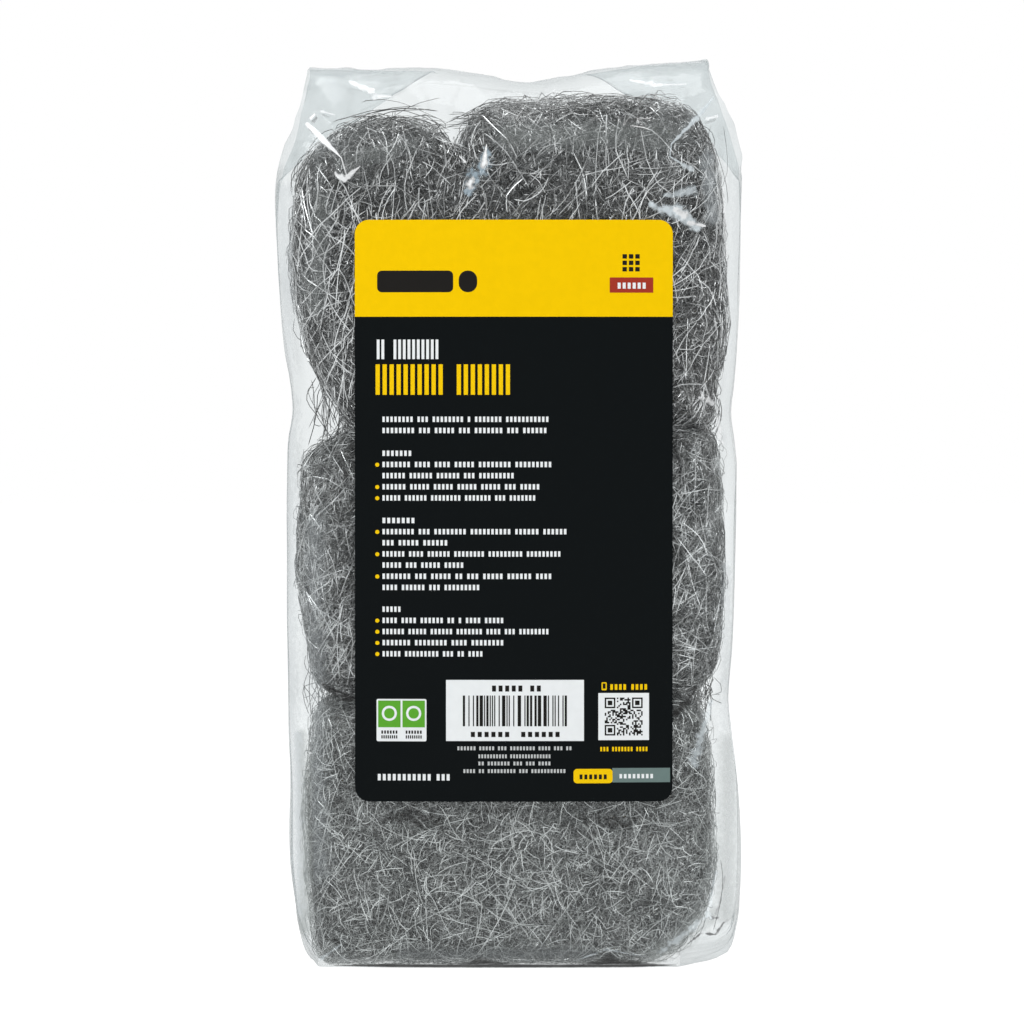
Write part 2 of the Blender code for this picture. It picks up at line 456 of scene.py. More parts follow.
FRONT_MARKS = (
    FilmMark((-27.0, 3.6), (20.0, 3.8), (2.2, 2.8), 0.45, 0.2, 0.1, GREY_PAINTED_SHEEN),
    FilmMark((0.0, 208.5), (40.0, 209.0), (6.5, 7.0), 0.26, 0.3, 0.0, DIM_PAINTED_SHEEN),
    FilmMark((-42.0, 202.0), (-24.0, 206.5), (5.0, 4.5), 0.22, 0.3, 0.0, DIM_PAINTED_SHEEN),
    FilmMark((-47.0, 192.0), (-48.5, 165.0), (5.5, 4.5), 0.22, 0.3, 0.0, DIM_PAINTED_SHEEN),
    FilmMark((-49.0, 112.0), (-48.0, 24.0), (5.5, 6.0), 0.25, 0.3, 0.0, PALE_PAINTED_SHEEN),
    FilmMark((54.8, 100.0), (55.2, 60.0), (3.0, 4.0), 0.28, 0.3, 0.0, PALE_PAINTED_SHEEN),
    FilmMark((55.4, 56.0), (54.6, 14.0), (5.5, 6.0), 0.5, 0.12, 0.0, DIM_PAINTED_SHEEN),
    FilmMark((51.5, 14.0), (37.0, 3.0), (6.0, 4.0), 0.5, 0.2, 0.0, DIM_PAINTED_SHEEN),
    FilmMark((-52.6, 58.0), (-51.6, 10.0), (3.4, 3.8), 0.65, 0.15, 0.1, DIM_PAINTED_SHEEN),
    FilmMark((50.8, 67.0), (46.4, 52.0), (1.0, 2.4), 0.42, 0.5, 0.0, PALE_GLEAM),
    FilmMark((47.0, 70.0), (42.0, 64.0), (0.9, 1.7), 0.75, 0.8, 0.0, PAINTED_SHADE),
    FilmMark((-46.5, 71.0), (-40.0, 67.5), (0.8, 2.0), 0.5, 0.7, 0.0, PAINTED_SHADE),
    FilmMark((49.5, 203.0), (51.0, 188.0), (3.5, 3.0), 0.4, 0.4, 0.0, PALE_PAINTED_SHEEN),
    FilmMark((-56.8, 195.0), (-56.0, 150.0), (4.5, 4.5), 0.3, 0.3, 0.0, PALE_PAINTED_SHEEN),
    FilmMark((-55.6, 142.0), (-54.6, 14.0), (4.5, 4.5), 0.35, 0.3, 0.0, PALE_PAINTED_SHEEN),
    FilmMark((57.5, 197.0), (57.0, 150.0), (4.0, 4.0), 0.2, 0.3, 0.0, PALE_PAINTED_SHEEN),
    FilmMark((-30.0, 38.6), (-18.0, 36.5), (2.6, 3.0), 0.5, 0.9, 0.0, PAINTED_SHADE),
    FilmMark((-8.0, 40.0), (6.0, 39.5), (2.0, 1.6), 0.3, 0.9, 0.0, PAINTED_SHADE),
    FilmMark((18.0, 38.5), (29.0, 36.0), (2.4, 3.2), 0.45, 0.9, 0.0, PAINTED_SHADE),
    FilmMark((-44.0, 0.5), (-30.0, 0.5), (0.1, 0.8), 0.95, 0.1, 0.2, PAINTED_SHADE),
    FilmMark((-30.0, 0.5), (32.0, 0.5), (0.8, 0.8), 0.95, 0.1, 0.2, PAINTED_SHADE),
    FilmMark((32.0, 0.5), (42.0, 0.6), (0.8, 0.1), 0.95, 0.1, 0.2, PAINTED_SHADE),
    FilmMark((-13.0, 0.6), (-7.0, 1.4), (0.6, 1.7), 0.85, 0.2, 0.1, PAINTED_SHADE),
    FilmMark((-7.0, 1.4), (1.0, 0.6), (1.7, 0.6), 0.85, 0.2, 0.1, PAINTED_SHADE),
    FilmMark((18.0, 0.6), (25.0, 1.6), (0.6, 2.2), 0.85, 0.2, 0.1, PAINTED_SHADE),
    FilmMark((25.0, 1.6), (37.0, 0.6), (2.2, 0.6), 0.85, 0.2, 0.1, PAINTED_SHADE),
    FilmMark((17.0, 2.0), (24.5, 4.9), (0.2, 0.45), 0.3, 0.5, 0.1, PALE_GLEAM),
    FilmMark((24.5, 4.9), (34.0, 2.8), (0.45, 0.2), 0.3, 0.5, 0.1, PALE_GLEAM),
    FilmMark((44.9, 6.1), (48.2, 8.7), (0.3, 0.5), 0.75, 0.9, 0.0, PAINTED_SHADE),
    FilmMark((48.2, 8.7), (51.8, 8.4), (0.4, 0.5), 0.8, 0.9, 0.0, PAINTED_SHADE),
    FilmMark((51.8, 8.4), (54.0, 11.3), (0.6, 0.3), 0.75, 0.9, 0.0, PAINTED_SHADE),
    FilmMark((54.0, 11.3), (56.6, 12.7), (0.4, 0.2), 0.4, 0.9, 0.0, PAINTED_SHADE),
    FilmMark((49.3, 12.8), (52.4, 12.5), (0.5, 0.4), 0.7, 0.9, 0.0, PAINTED_SHADE),
    FilmMark((54.2, 23.0), (53.2, 17.0), (0.25, 0.4), 0.3, 0.9, 0.0, PAINTED_SHADE),
    FilmMark((53.2, 17.0), (51.6, 12.8), (0.4, 0.4), 0.35, 0.9, 0.0, PAINTED_SHADE),
    FilmMark((52.0, 24.0), (49.6, 13.0), (0.5, 1.3), 0.3, 0.7, 0.0, PALE_GLEAM),
    FilmMark((49.6, 13.0), (38.0, 4.0), (1.2, 1.2), 0.25, 0.7, 0.0, PALE_GLEAM),
    FilmMark((-47.5, 2.0), (-42.0, 6.0), (0.8, 0.3), 0.4, 0.6, 0.1, PALE_GLEAM),
    FilmMark((-46.0, 7.5), (-43.0, 6.5), (0.5, 1.3), 0.5, 0.6, 0.1, PAINTED_SHADE),
    FilmMark((-20.5, 223.3), (-33.0, 217.0), (0.5, 0.8), 0.12, 0.3, 0.1, PAINTED_SHADE),
    FilmMark((-33.0, 217.0), (-45.5, 211.0), (0.8, 0.5), 0.12, 0.3, 0.1, PAINTED_SHADE),
    FilmMark((-20.0, 222.5), (8.0, 219.5), (0.5, 0.9), 0.14, 0.3, 0.1, PAINTED_SHADE),
    FilmMark((8.0, 219.8), (30.0, 223.0), (0.9, 0.4), 0.12, 0.3, 0.1, PAINTED_SHADE),
    FilmMark((-50.6, 211.7), (-45.5, 206.6), (0.7, 0.9), 0.9, 0.25, 0.5),
    FilmMark((-45.5, 206.6), (-41.9, 203.0), (0.9, 0.12), 0.9, 0.2, 0.5),
    FilmMark((-41.9, 203.0), (-40.6, 198.6), (0.2, 0.15), 0.7, 0.1),
    FilmMark((-48.9, 214.0), (-49.6, 213.2), (0.5, 0.6), 0.8, 0.4, 0.3),
    FilmMark((-47.2, 214.9), (-43.5, 213.9), (0.5, 0.2), 0.5, 0.4, 0.1),
    FilmMark((51.4, 218.6), (47.0, 213.0), (0.2, 0.9), 0.45, 0.5, 0.3, PALE_GLEAM),
    FilmMark((47.0, 213.0), (40.6, 206.5), (1.0, 0.3), 0.65, 0.5, 0.3, PALE_GLEAM),
    FilmMark((40.6, 206.5), (40.2, 203.3), (0.25, 0.2), 0.5, 0.3, 0.5, PALE_GLEAM),
    FilmMark((40.2, 203.3), (46.0, 199.8), (0.2, 1.1), 0.6, 0.5, 0.1, PALE_GLEAM),
    FilmMark((52.2, 213.6), (49.6, 212.9), (0.5, 0.7), 0.5, 0.5, 0.1),
    FilmMark((-43.2, 199.0), (-41.2, 197.6), (0.6, 1.3), 0.75, 0.6, 0.2),
    FilmMark((-41.2, 197.6), (-37.2, 200.9), (1.2, 0.15), 0.7, 0.5, 0.3),
    FilmMark((-39.8, 222.6), (-34.6, 220.2), (1.0, 1.3), 0.6, 0.4, 0.0),
    FilmMark((-33.6, 218.6), (-29.6, 218.9), (1.2, 0.3), 0.55, 0.5, 0.0),
    FilmMark((30.6, 223.2), (36.6, 221.8), (0.4, 1.2), 0.5, 0.4, 0.0),
    FilmMark((36.6, 221.8), (44.6, 222.0), (0.9, 0.2), 0.4, 0.4, 0.0),
    FilmMark((35.5, 191.2), (42.5, 189.2), (1.0, 3.2), 0.72, 0.45, 0.0, PALE_GLEAM),
    FilmMark((42.5, 189.2), (47.0, 185.8), (3.2, 1.6), 0.72, 0.45, 0.0, PALE_GLEAM),
    FilmMark((41.5, 190.0), (44.0, 188.6), (0.8, 1.3), 0.55, 0.5, 0.0),
    FilmMark((38.6, 193.6), (45.8, 194.8), (0.8, 2.0), 0.5, 0.5, 0.0, PALE_GLEAM),
    FilmMark((45.2, 186.8), (49.0, 186.0), (0.8, 0.3), 0.7, 0.6, 0.2),
    FilmMark((-5.2, 204.5), (-6.6, 200.6), (1.6, 3.0), 0.5, 0.5, 0.0, BLUE_GLEAM),
    FilmMark((-8.8, 198.6), (-10.2, 194.5), (2.8, 1.8), 0.5, 0.5, 0.0, BLUE_GLEAM),
    FilmMark((-5.6, 206.4), (-6.2, 201.2), (0.15, 1.1), 0.9, 0.4, 0.0),
    FilmMark((-9.2, 197.8), (-9.8, 196.2), (1.0, 1.4), 0.9, 0.5, 0.0),
    FilmMark((-12.4, 203.4), (-11.0, 202.0), (0.2, 0.4), 0.7, 0.4, 0.2),
    FilmMark((53.5, 196.0), (54.5, 178.0), (0.3, 0.5), 0.4, 0.5, 0.2),
    FilmMark((48.6, 143.2), (51.0, 141.6), (1.2, 0.8), 0.6, 0.9, 0.1),
    FilmMark((52.4, 138.0), (53.2, 132.0), (0.8, 0.9), 0.5, 0.9, 0.1),
)

# The back's painted highlights.
BACK_MARKS = (
    FilmMark((50.0, 214.0), (41.0, 204.0), (0.4, 1.2), 0.8, 0.4, 0.2, behind=True),
    FilmMark((-50.0, 212.0), (-38.0, 205.5), (0.5, 1.2), 0.8, 0.4, 0.2, behind=True),
    FilmMark((-44.0, 198.0), (-39.0, 186.0), (1.8, 0.3), 0.6, 0.6, 0.0, PALE_GLEAM, behind=True),
    FilmMark((46.0, 190.0), (49.0, 160.0), (0.9, 0.3), 0.6, 0.6, 0.1, behind=True),
    FilmMark((30.0, 138.5), (46.0, 136.0), (0.4, 1.3), 0.6, 0.6, 0.0, behind=True),
    FilmMark((-47.0, 132.0), (-49.0, 98.0), (1.1, 0.3), 0.6, 0.6, 0.1, behind=True),
    FilmMark((-20.0, 69.0), (-44.0, 66.0), (0.3, 1.2), 0.5, 0.6, 0.0, PALE_GLEAM, behind=True),
    FilmMark((47.0, 60.0), (49.0, 22.0), (0.9, 0.3), 0.6, 0.6, 0.1, behind=True),
    FilmMark((-46.0, 12.0), (-30.0, 3.0), (0.4, 1.1), 0.5, 0.6, 0.0, PALE_GLEAM, behind=True),
)


@dataclass(frozen=True)
class FilmFinish:
    """Clear polythene: thin, a little milky, greyer at a slant and white where a fold gleams, with painted
    highlights, painted sheen and painted shade drawn on it.
    """

    marks: Sequence[FilmMark] = (*FRONT_MARKS, *BACK_MARKS)
    name: str = "clear_film"
    tint: Colour = (0.935, 0.952, 0.955)
    milk: Colour = (0.47, 0.515, 0.525)
    haze: float = 0.03
    edge_haze: float = 0.34
    behind_share: float = 0.4
    crease_haze: float = 0.2
    roughness: float = 0.10
    gloss: float = 0.010
    edge_gloss: float = 0.10
    drawn_from: float = 12.0
    drawn_fade: float = 2.0
    frays_per_metre: float = 700.0
    fray: float = 4.0
    paint_edge: float = 0.3
    waves_per_metre: float = 260.0
    wave_depth: float = 0.3
    gusset_foot: Span = (199.0, 203.0)
    gusset_top: Span = (219.0, 222.0)
    gusset_back: Span = (24.0, 31.0)
    gusset_softness: float = 0.85
    slant_power: float = 3.0
    slant_fade: float = 20.0
    milk_roughness: float = 0.5
    milk_specular: float = 0.25
    crease_gloss: float = 0.03

    def drawn(self, tree: ShaderTree, place: Wire, depth: Wire) -> tuple[Wire, Wire]:
        """Draw the painted highlights, painted sheen and painted shade on the film's front and back.

        Args:
            tree: the material's nodes.
            place: the place on the piece.
            depth: how far back it is, in millimetres.

        Returns:
            The milky film's colour, and how much of the marks shows, from 0 to 1.
        """
        flat = tree.vector("MULTIPLY", place, (PER_MM, 0.0, PER_MM))
        wobble = (tree.noise(place, self.frays_per_metre, 3.0) - 0.5) * self.fray
        colour: Value = self.milk
        shown: Value = 0.0
        for behind in (False, True):
            side = depth * (1.0 if behind else -1.0)
            side = side.eased(self.drawn_from, self.drawn_from + self.drawn_fade)
            painted: Value = self.milk
            strength: Value = 0.0
            for mark in (m for m in self.marks if m.behind is behind):
                mask = mark.mask(flat, wobble)
                painted = tree.blended(mask.eased(0.0, self.paint_edge), painted, mark.colour)
                strength = mask.larger(strength)
            colour = tree.blended(side, colour, painted)
            shown = (strength * side).larger(shown)
        return colour, shown

    def in_millimetres(self, tree: ShaderTree, place: Wire) -> list[Wire]:
        """Return a place's three parts in millimetres."""
        return [
            tree.node("ShaderNodeSeparateXYZ", inputs={0: place}, output=part) * PER_MM
            for part in range(3)
        ]

    def make(self) -> bpy.types.Material:
        """Build the material."""
        made, tree = new_material(self.name)
        place = tree.object_place()
        facing = tree.node("ShaderNodeLayerWeight", inputs={"Blend": 0.5}, output="Facing")
        crease = tree.attribute(FilmBag.CREASE)
        _, depth, height = self.in_millimetres(tree, place)
        colour, marked = self.drawn(tree, place, depth)
        waves = tree.noise(place, self.waves_per_metre, 3.0, 0.6)
        wavy = tree.bump(waves, self.wave_depth * MM, 0.5)
        clear = tree.node("ShaderNodeBsdfTransparent", inputs={"Color": self.tint})
        milky = tree.principled(
            Base_Color=colour,
            Roughness=self.milk_roughness,
            Specular_IOR_Level=self.milk_specular,
            Normal=wavy,
        )
        shiny = tree.principled(
            Base_Color=(0.98, 0.99, 1.0), Metallic=1.0, Roughness=self.roughness, Normal=wavy
        )
        gusset = height.eased(*self.gusset_foot) * height.eased(*self.gusset_top, 1.0, 0.0)
        soft = 1.0 - gusset * abs(depth).eased(*self.gusset_back, self.gusset_softness, 0.0)
        slant = facing ** self.slant_power
        grazing = slant * depth.eased(0.0, self.slant_fade, 1.0, self.behind_share) * soft
        haze = grazing * self.edge_haze + crease * soft * self.crease_haze + self.haze
        gloss = grazing * self.edge_gloss + crease * self.crease_gloss + self.gloss
        body = tree.node(
            "ShaderNodeMixShader", inputs={0: haze.larger(marked), 1: clear, 2: milky}
        )
        tree.finish(tree.node("ShaderNodeMixShader", inputs={0: gloss, 1: body, 2: shiny}))
        return made


@dataclass(frozen=True)
class InkFinish:
    """A printed colour on the label, matt with a little tooth."""

    name: str
    colour: Colour
    roughness: float = 0.5
    sheen: float = 0.08
    mottles_per_metre: float = 420.0
    teeth_per_metre: float = 1500.0

    def make(self) -> bpy.types.Material:
        """Build the material."""
        made, tree = new_material(self.name)
        place = tree.object_place()
        mottle = tree.noise(place, self.mottles_per_metre, 4.0)
        darker = tuple(0.97 * part for part in self.colour)
        surface = tree.principled(
            Base_Color=tree.blended(mottle.eased(0.3, 0.7), darker, self.colour),
            Roughness=mottle * 0.12 + (self.roughness - 0.06),
            Specular_IOR_Level=self.sheen,
            Normal=tree.bump(tree.noise(place, self.teeth_per_metre, 2.0), 0.02 * MM, 0.4),
        )
        tree.finish(surface)
        return made


def new_piece(name: str, bm: bmesh.types.BMesh, *materials: bpy.types.Material) -> bpy.types.Object:
    """Turn a bmesh into a piece of the scene.

    Args:
        name: the piece's name.
        bm: its shape, which is freed.
        materials: its materials, in the order that its faces number them.

    Returns:
        The object, at the origin.
    """
    mesh = bpy.data.meshes.new(name)
    bm.to_mesh(mesh)
    bm.free()
    for material in materials:
        mesh.materials.append(material)
    made = bpy.data.objects.new(name, mesh)
    bpy.context.scene.collection.objects.link(made)
    return made


def report(piece: bpy.types.Object) -> None:
    """Log a piece's name and how many triangles it has."""
    piece.data.calc_loop_triangles()
    log.info("%s: %d triangles", piece.name, len(piece.data.loop_triangles))


def smooth_through(at: float, places: Sequence[float], values: Sequence[float]) -> float:
    """Read a smooth curve through given points.

    Args:
        at: where to read it.
        places: the points' places, in rising order.
        values: the points' values.

    Returns:
        The curve's value, held level beyond its ends.
    """
    if at <= places[0]:
        return values[0]
    if at >= places[-1]:
        return values[-1]
    last = len(places) - 1
    k = max(i for i in range(last) if places[i] <= at)
    span = places[k + 1] - places[k]
    before, after = max(k - 1, 0), min(k + 2, last)
    slope_in = (values[k + 1] - values[before]) / (places[k + 1] - places[before]) * span
    slope_out = (values[after] - values[k]) / (places[after] - places[k]) * span
    t = (at - places[k]) / span
    return (
        (2 * t**3 - 3 * t**2 + 1) * values[k]
        + (t**3 - 2 * t**2 + t) * slope_in
        + (3 * t**2 - 2 * t**3) * values[k + 1]
        + (t**3 - t**2) * slope_out
    )


def held(share: float) -> float:
    """Return a share that is kept from 0 to 1."""
    return min(1.0, max(0.0, share))


@dataclass(frozen=True)
class Crease:
    """A straight fold in the film's front, in millimetres across and up."""

    start: Span
    end: Span
    height: float
    width: float

    def read(self, x: float, z: float) -> float:
        """Return how much of the fold is felt at a place, from 0 to 1, sharp along its line."""
        a = Vector(self.start)
        b = Vector(self.end)
        p = Vector((x, z))
        along = (p - a).dot(b - a) / (b - a).length_squared
        inside = held(along)
        away = (p - a.lerp(b, inside)).length
        fade = math.sin(math.pi * held(0.08 + 0.84 * inside))
        return max(0.0, 1.0 - away / self.width) * fade


@dataclass
class FilmBag:
    """The clear bag, a tube of film with gussets in its sides that closes in one seal.

    Its sections are rounded rectangles. Each row of the table gives one: its height, its left and
    right edge, its half depth and the radius of its corners, all in millimetres.
    """

    CREASE = "crease"

    front_steps: int = 90
    side_steps: int = 38
    corner_steps: int = 7
    shoulder: float = 199.0
    crown: float = 227.0
    dome_rings: int = 46
    depth: float = 36.0
    gusset_share: float = 0.9
    weld: float = 0.001
    dome_power: float = 0.7
    flare: float = 0.045
    label: tuple[Vector, Vector] = field(init=False)
    front_sag: float = 1.5
    sag_at: float = 40.0
    side_from: float = 30.0
    side_run: float = 20.0
    top_from: float = 188.0
    top_run: float = 16.0
    foot_to: float = 16.0
    foot_run: float = 12.0
    sections: list[tuple[float, float, float, float, float]] = field(
        default_factory=lambda: [
            (0.0, -48.0, 43.0, 33.5, 2.5), (1.2, -48.9, 47.6, 34.2, 3.0),
            (3.0, -50.2, 52.6, 34.8, 3.5), (4.6, -51.0, 55.2, 35.1, 4.0),
            (10.0, -52.8, 56.7, 35.7, 6.0), (17.0, -53.8, 57.6, 35.9, 8.0),
            (26.0, -54.6, 57.8, 36.0, 10.0), (45.0, -54.6, 57.2, 36.0, 11.0),
            (56.0, -55.0, 55.6, 36.0, 11.0), (66.0, -55.4, 54.9, 36.0, 11.0),
            (80.0, -55.5, 56.0, 36.0, 11.0), (100.0, -55.3, 56.5, 36.0, 11.0),
            (125.0, -55.3, 56.9, 36.0, 11.0), (132.0, -55.1, 56.2, 36.0, 11.0),
            (139.5, -54.0, 55.3, 36.0, 11.0), (147.0, -54.6, 56.2, 36.0, 11.0),
            (155.0, -56.0, 56.9, 36.0, 11.0), (167.5, -57.3, 57.4, 36.0, 11.0),
            (182.5, -58.2, 57.8, 36.0, 10.0), (192.0, -58.2, 58.0, 36.0, 9.0),
            (199.0, -57.5, 58.0, 36.0, 8.0), (205.0, -55.8, 57.6, 35.8, 7.0),
            (211.0, -53.3, 55.6, 34.6, 6.0), (218.5, -51.4, 52.2, 31.0, 5.0),
            (224.0, -50.3, 50.1, 18.0, 3.0), (228.0, -49.9, 49.3, 0.5, 1.0),
        ]
    )
    seal: list[Span] = field(
        default_factory=lambda: [
            (-50.0, 227.4), (-35.0, 227.2), (-20.0, 227.2), (-7.0, 225.4), (5.0, 223.8),
            (13.0, 224.8), (23.0, 227.2), (36.0, 228.4), (49.0, 229.3),
        ]
    )
    creases: list[Crease] = field(
        default_factory=lambda: [
            Crease((51.0, 218.0), (39.0, 205.0), 0.7, 1.8),
            Crease((-50.5, 212.0), (-40.0, 203.0), 0.7, 1.8),
            Crease((-46.0, 200.0), (-36.0, 199.0), -0.5, 2.2),
            Crease((36.0, 192.0), (46.0, 186.0), 0.8, 4.0),
            Crease((49.0, 20.0), (55.0, 6.0), -0.8, 1.6),
            Crease((52.0, 30.0), (47.0, 4.0), -0.6, 1.6),
            Crease((-50.0, 22.0), (-46.0, 3.0), -0.7, 1.6),
        ]
    )

    def __post_init__(self) -> None:
        """Read the label's place from the frame, in millimetres."""
        lo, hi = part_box("label")
        self.label = (lo / MM, hi / MM)

    def section_at(self, height: float) -> tuple[float, float, float, float]:
        """Return the left edge, right edge, half depth and corner radius at a height."""
        heights = [row[0] for row in self.sections]
        columns = ([row[k] for row in self.sections] for k in range(1, 5))
        left, right, depth, corner = (smooth_through(height, heights, c) for c in columns)
        return left, right, depth, corner

    def seal_height(self, x: float) -> float:
        """Return how high the seal stands at a distance from the middle."""
        return smooth_through(x, [p[0] for p in self.seal], [p[1] for p in self.seal])

    def ring_levels(self) -> list[tuple[float, float | None]]:
        """List the rings from the base up.

        Returns:
            Each ring's height, and its angle over the top or None below the shoulder.
        """
        base = [0.0, 0.4, 1.0, 1.8, 2.8, 4.0, 5.4, 7.0, 8.6]
        body = list(np.linspace(10.4, self.shoulder, 104))
        rings: list[tuple[float, float | None]] = [(h, None) for h in base + body]
        for step in range(1, self.dome_rings + 1):
            rings.append((self.shoulder, math.pi / 2 * step / self.dome_rings))
        return rings

    def outline(self, left: float, right: float, depth: float, corner: float, tuck: float) -> list[Span]:
        """Return one section's points, anticlockwise from the right side's middle.

        Args:
            left: the left edge.
            right: the right edge.
            depth: the half depth.
            corner: the corners' radius.
            tuck: how far the middle of each side folds in.

        Returns:
            The points, across and back.
        """
        corner = min(corner, 0.9 * depth)
        half_side = self.side_steps // 2
        points: list[Span] = []
        for quarter in range(4):
            to_right = quarter in (0, 3)
            to_back = quarter in (0, 1)
            edge = right if to_right else left
            out = 1.0 if to_right else -1.0
            back = 1.0 if to_back else -1.0
            straight = depth - corner
            side = []
            for step in range(half_side):
                share = step / half_side
                side.append((edge - out * tuck * (1 - share), back * straight * share))
            bend = []
            for step in range(self.corner_steps):
                angle = math.pi / 2 * step / self.corner_steps
                bend.append(
                    (
                        edge - out * corner * (1 - math.cos(angle)),
                        back * (straight + corner * math.sin(angle)),
                    )
                )
            middle = (left + right) / 2
            inner = edge - out * corner
            half_front = self.front_steps // 2
            wide = []
            for step in range(half_front):
                share = step / half_front
                wide.append((inner + (middle - inner) * share, back * depth))
            run = side + bend + wide
            if quarter in (1, 3):
                tail = (middle, back * depth)
                run = [*run[1:], tail]
                run.reverse()
            points += run
        return points

    def place_point(self, x: float, y: float, height: float, over: float | None) -> Vector:
        """Return where a point of a section lies in space, in millimetres."""
        bulge = 1.0 - self.front_sag / self.depth * (x / self.sag_at) ** 2
        z = height
        if over is not None:
            z = self.shoulder + (self.seal_height(x) - self.shoulder) * math.sin(over)
        wider = 1.0 + self.flare * (y / self.depth + 1.0) / 2.0
        return Vector((x * wider, y * bulge, z))

    def ring(self, height: float, over: float | None) -> list[Vector]:
        """Return one ring of the bag, in millimetres."""
        if over is None:
            left, right, depth, corner = self.section_at(height)
            tuck = 0.0
        else:
            level = self.shoulder + (self.crown - self.shoulder) * math.sin(over)
            left, right, _, corner = self.section_at(level)
            depth = self.depth * math.cos(over) ** self.dome_power
            tuck = self.gusset_share * math.sqrt(self.depth**2 - depth**2)
        outline = self.outline(left, right, depth, corner, tuck)
        return [self.place_point(x, y, height, over) for x, y in outline]

    def kept_inside(self, path: np.ndarray, gap: float = 0.8) -> np.ndarray:
        """Draw a strand's points back inside the film.

        Args:
            path: the points, in metres.
            gap: how far inside they stay, in millimetres.

        Returns:
            The moved points.
        """
        heights = [row[0] for row in self.sections]
        left = np.interp(path[:, 2] / MM, heights, [row[1] for row in self.sections]) + gap
        right = np.interp(path[:, 2] / MM, heights, [row[2] for row in self.sections]) - gap
        across = np.clip(path[:, 0] / MM, left, right)
        front = -self.depth + self.front_sag * (across / self.sag_at) ** 2 + gap
        inward = np.clip(path[:, 1] / MM, front, -front)
        seal = np.interp(across, [p[0] for p in self.seal], [p[1] for p in self.seal])
        lean = np.sqrt(1.0 - np.abs(inward / self.depth) ** (2 / self.dome_power))
        roof = self.shoulder + (seal - self.shoulder) * lean - 1.5 * gap
        return np.column_stack((across, inward, np.clip(path[:, 2] / MM, 0.4 * gap, roof))) * MM

    def label_calm(self, x: float, z: float) -> float:
        """Return 0 behind the label and 1 well away from it, so that no wrinkle lifts it."""
        lo, hi = self.label
        still, margin = 2.5, 8.0
        out_x = max(lo.x - x, x - hi.x, 0.0)
        out_z = max(lo.z - z, z - hi.z, 0.0)
        return held((math.hypot(out_x, out_z) - still) / margin)

    def crumple(self, p: Vector) -> tuple[float, float]:
        """Return how far the film stands out at a place, and how creased it is there.

        Args:
            p: the place, in millimetres.

        Returns:
            The height in millimetres, and the crease from 0 to 1.
        """
        long_way = Vector((p.x / 14.0, p.y / 30.0, p.z / 70.0))
        short_way = Vector((p.x / 10.0 + 7.0, p.y / 12.0, p.z / 12.0))
        side = held((abs(p.x) - self.side_from) / self.side_run)
        top = held((p.z - self.top_from) / self.top_run)
        foot = held((self.foot_to - p.z) / self.foot_run)
        ridge_long = 1.0 - min(1.0, 3.0 * abs(noise.noise(long_way)))
        ridge_short = 1.0 - min(1.0, 3.0 * abs(noise.noise(short_way)))
        soft = noise.noise(Vector((p.x, p.y, p.z)) / 22.0)
        busy = max(side, top, foot)
        height = 0.4 * side * ridge_long + (0.45 * top + 0.7 * foot) * ridge_short + 0.5 * soft * busy
        crease = 0.7 * side * ridge_long**3 + 0.5 * max(top, foot) * ridge_short**6
        if p.y < 0:
            for fold in self.creases:
                felt = fold.read(p.x, p.z)
                height += fold.height * felt
                crease += felt**3
            calm = self.label_calm(p.x, p.z)
            height *= calm
            crease *= calm
        return height, min(1.0, crease)

    def make(self, finish: FilmFinish) -> bpy.types.Object:
        """Build the bag.

        Args:
            finish: the film's finish.

        Returns:
            The piece.
        """
        levels = self.ring_levels()
        rings = [self.ring(*level) for level in levels]
        around = len(rings[0])
        bm = bmesh.new()
        bmesh.ops.create_cone(
            bm, segments=around, radius1=1.0, radius2=1.0, depth=1.0, cap_ends=False
        )
        upright = [e for e in bm.edges if abs(e.verts[0].co.z - e.verts[1].co.z) > 0.5]
        bmesh.ops.subdivide_edges(bm, edges=upright, cuts=len(rings) - 2, use_grid_fill=True)
        first = min(bm.verts, key=lambda v: (v.co.z, abs(math.atan2(v.co.y, v.co.x)))).co
        turn = math.atan2(first.y, first.x)
        for vert in bm.verts:
            angle = (math.atan2(vert.co.y, vert.co.x) - turn) / (2 * math.pi)
            column = round(angle * around) % around
            row = round((vert.co.z + 0.5) * (len(rings) - 1))
            vert.co = rings[row][column] * MM
        bmesh.ops.remove_doubles(bm, verts=bm.verts, dist=self.weld * MM)
        bmesh.ops.holes_fill(bm, edges=[e for e in bm.edges if e.is_boundary], sides=0)
        bmesh.ops.recalc_face_normals(bm, faces=bm.faces)
        bm.normal_update()
        layer = bm.verts.layers.float.new(self.CREASE)
        moves = []
        for vert in bm.verts:
            height, crease = self.crumple(vert.co / MM)
            rest = min(1.0, vert.co.z / (2.0 * MM))
            moves.append(vert.normal * (height * rest * MM))
            vert[layer] = crease
        for vert, move in zip(bm.verts, moves):
            vert.co += move
        for face in bm.faces:
            face.smooth = True
        bag = new_piece("film_bag_skin", bm, finish.make())
        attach(bag, ROOT)
        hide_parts("film_bag")
        report(bag)
        return bag


class Zone(Enum):
    """Where on a pad a kind of strand is laid."""

    ALL = "all over"
    RIM = "round the rim"
    SEAM = "along the edges that meet other pads"
    JOIN = "all round the edges that face the layers beside it"


@dataclass(frozen=True)
class StrandKind:
    """One kind of strand on a pad. Lengths are in millimetres and turns in radians.

    None starts higher than "under", and by the label's top edge their tone is "dim" of itself, as painted
    shade.
    """

    count: int
    length: Span
    points: int
    radius: Span
    tone: Span
    lift: Span = (-0.8, 0.2)
    loft: float = 0.0
    wander: float = 0.3
    jitter: float = 0.1
    kinks: float = 0.05
    lean: tuple[float, float, float] = (0.0, 0.0, 0.0)
    bias: float = 1.0
    zone: Zone = Zone.ALL
    under: float = 300.0
    dim: float = 1.0


@dataclass(frozen=True)
class Tuft:
    """Loose strands that arc between two places, in millimetres."""

    start: tuple[float, float, float]
    end: tuple[float, float, float]
    spread: float
    bulge: float
    count: int
    points: int = 8
    radius: Span = (0.08, 0.15)
    tone: Span = (0.0, 0.45)


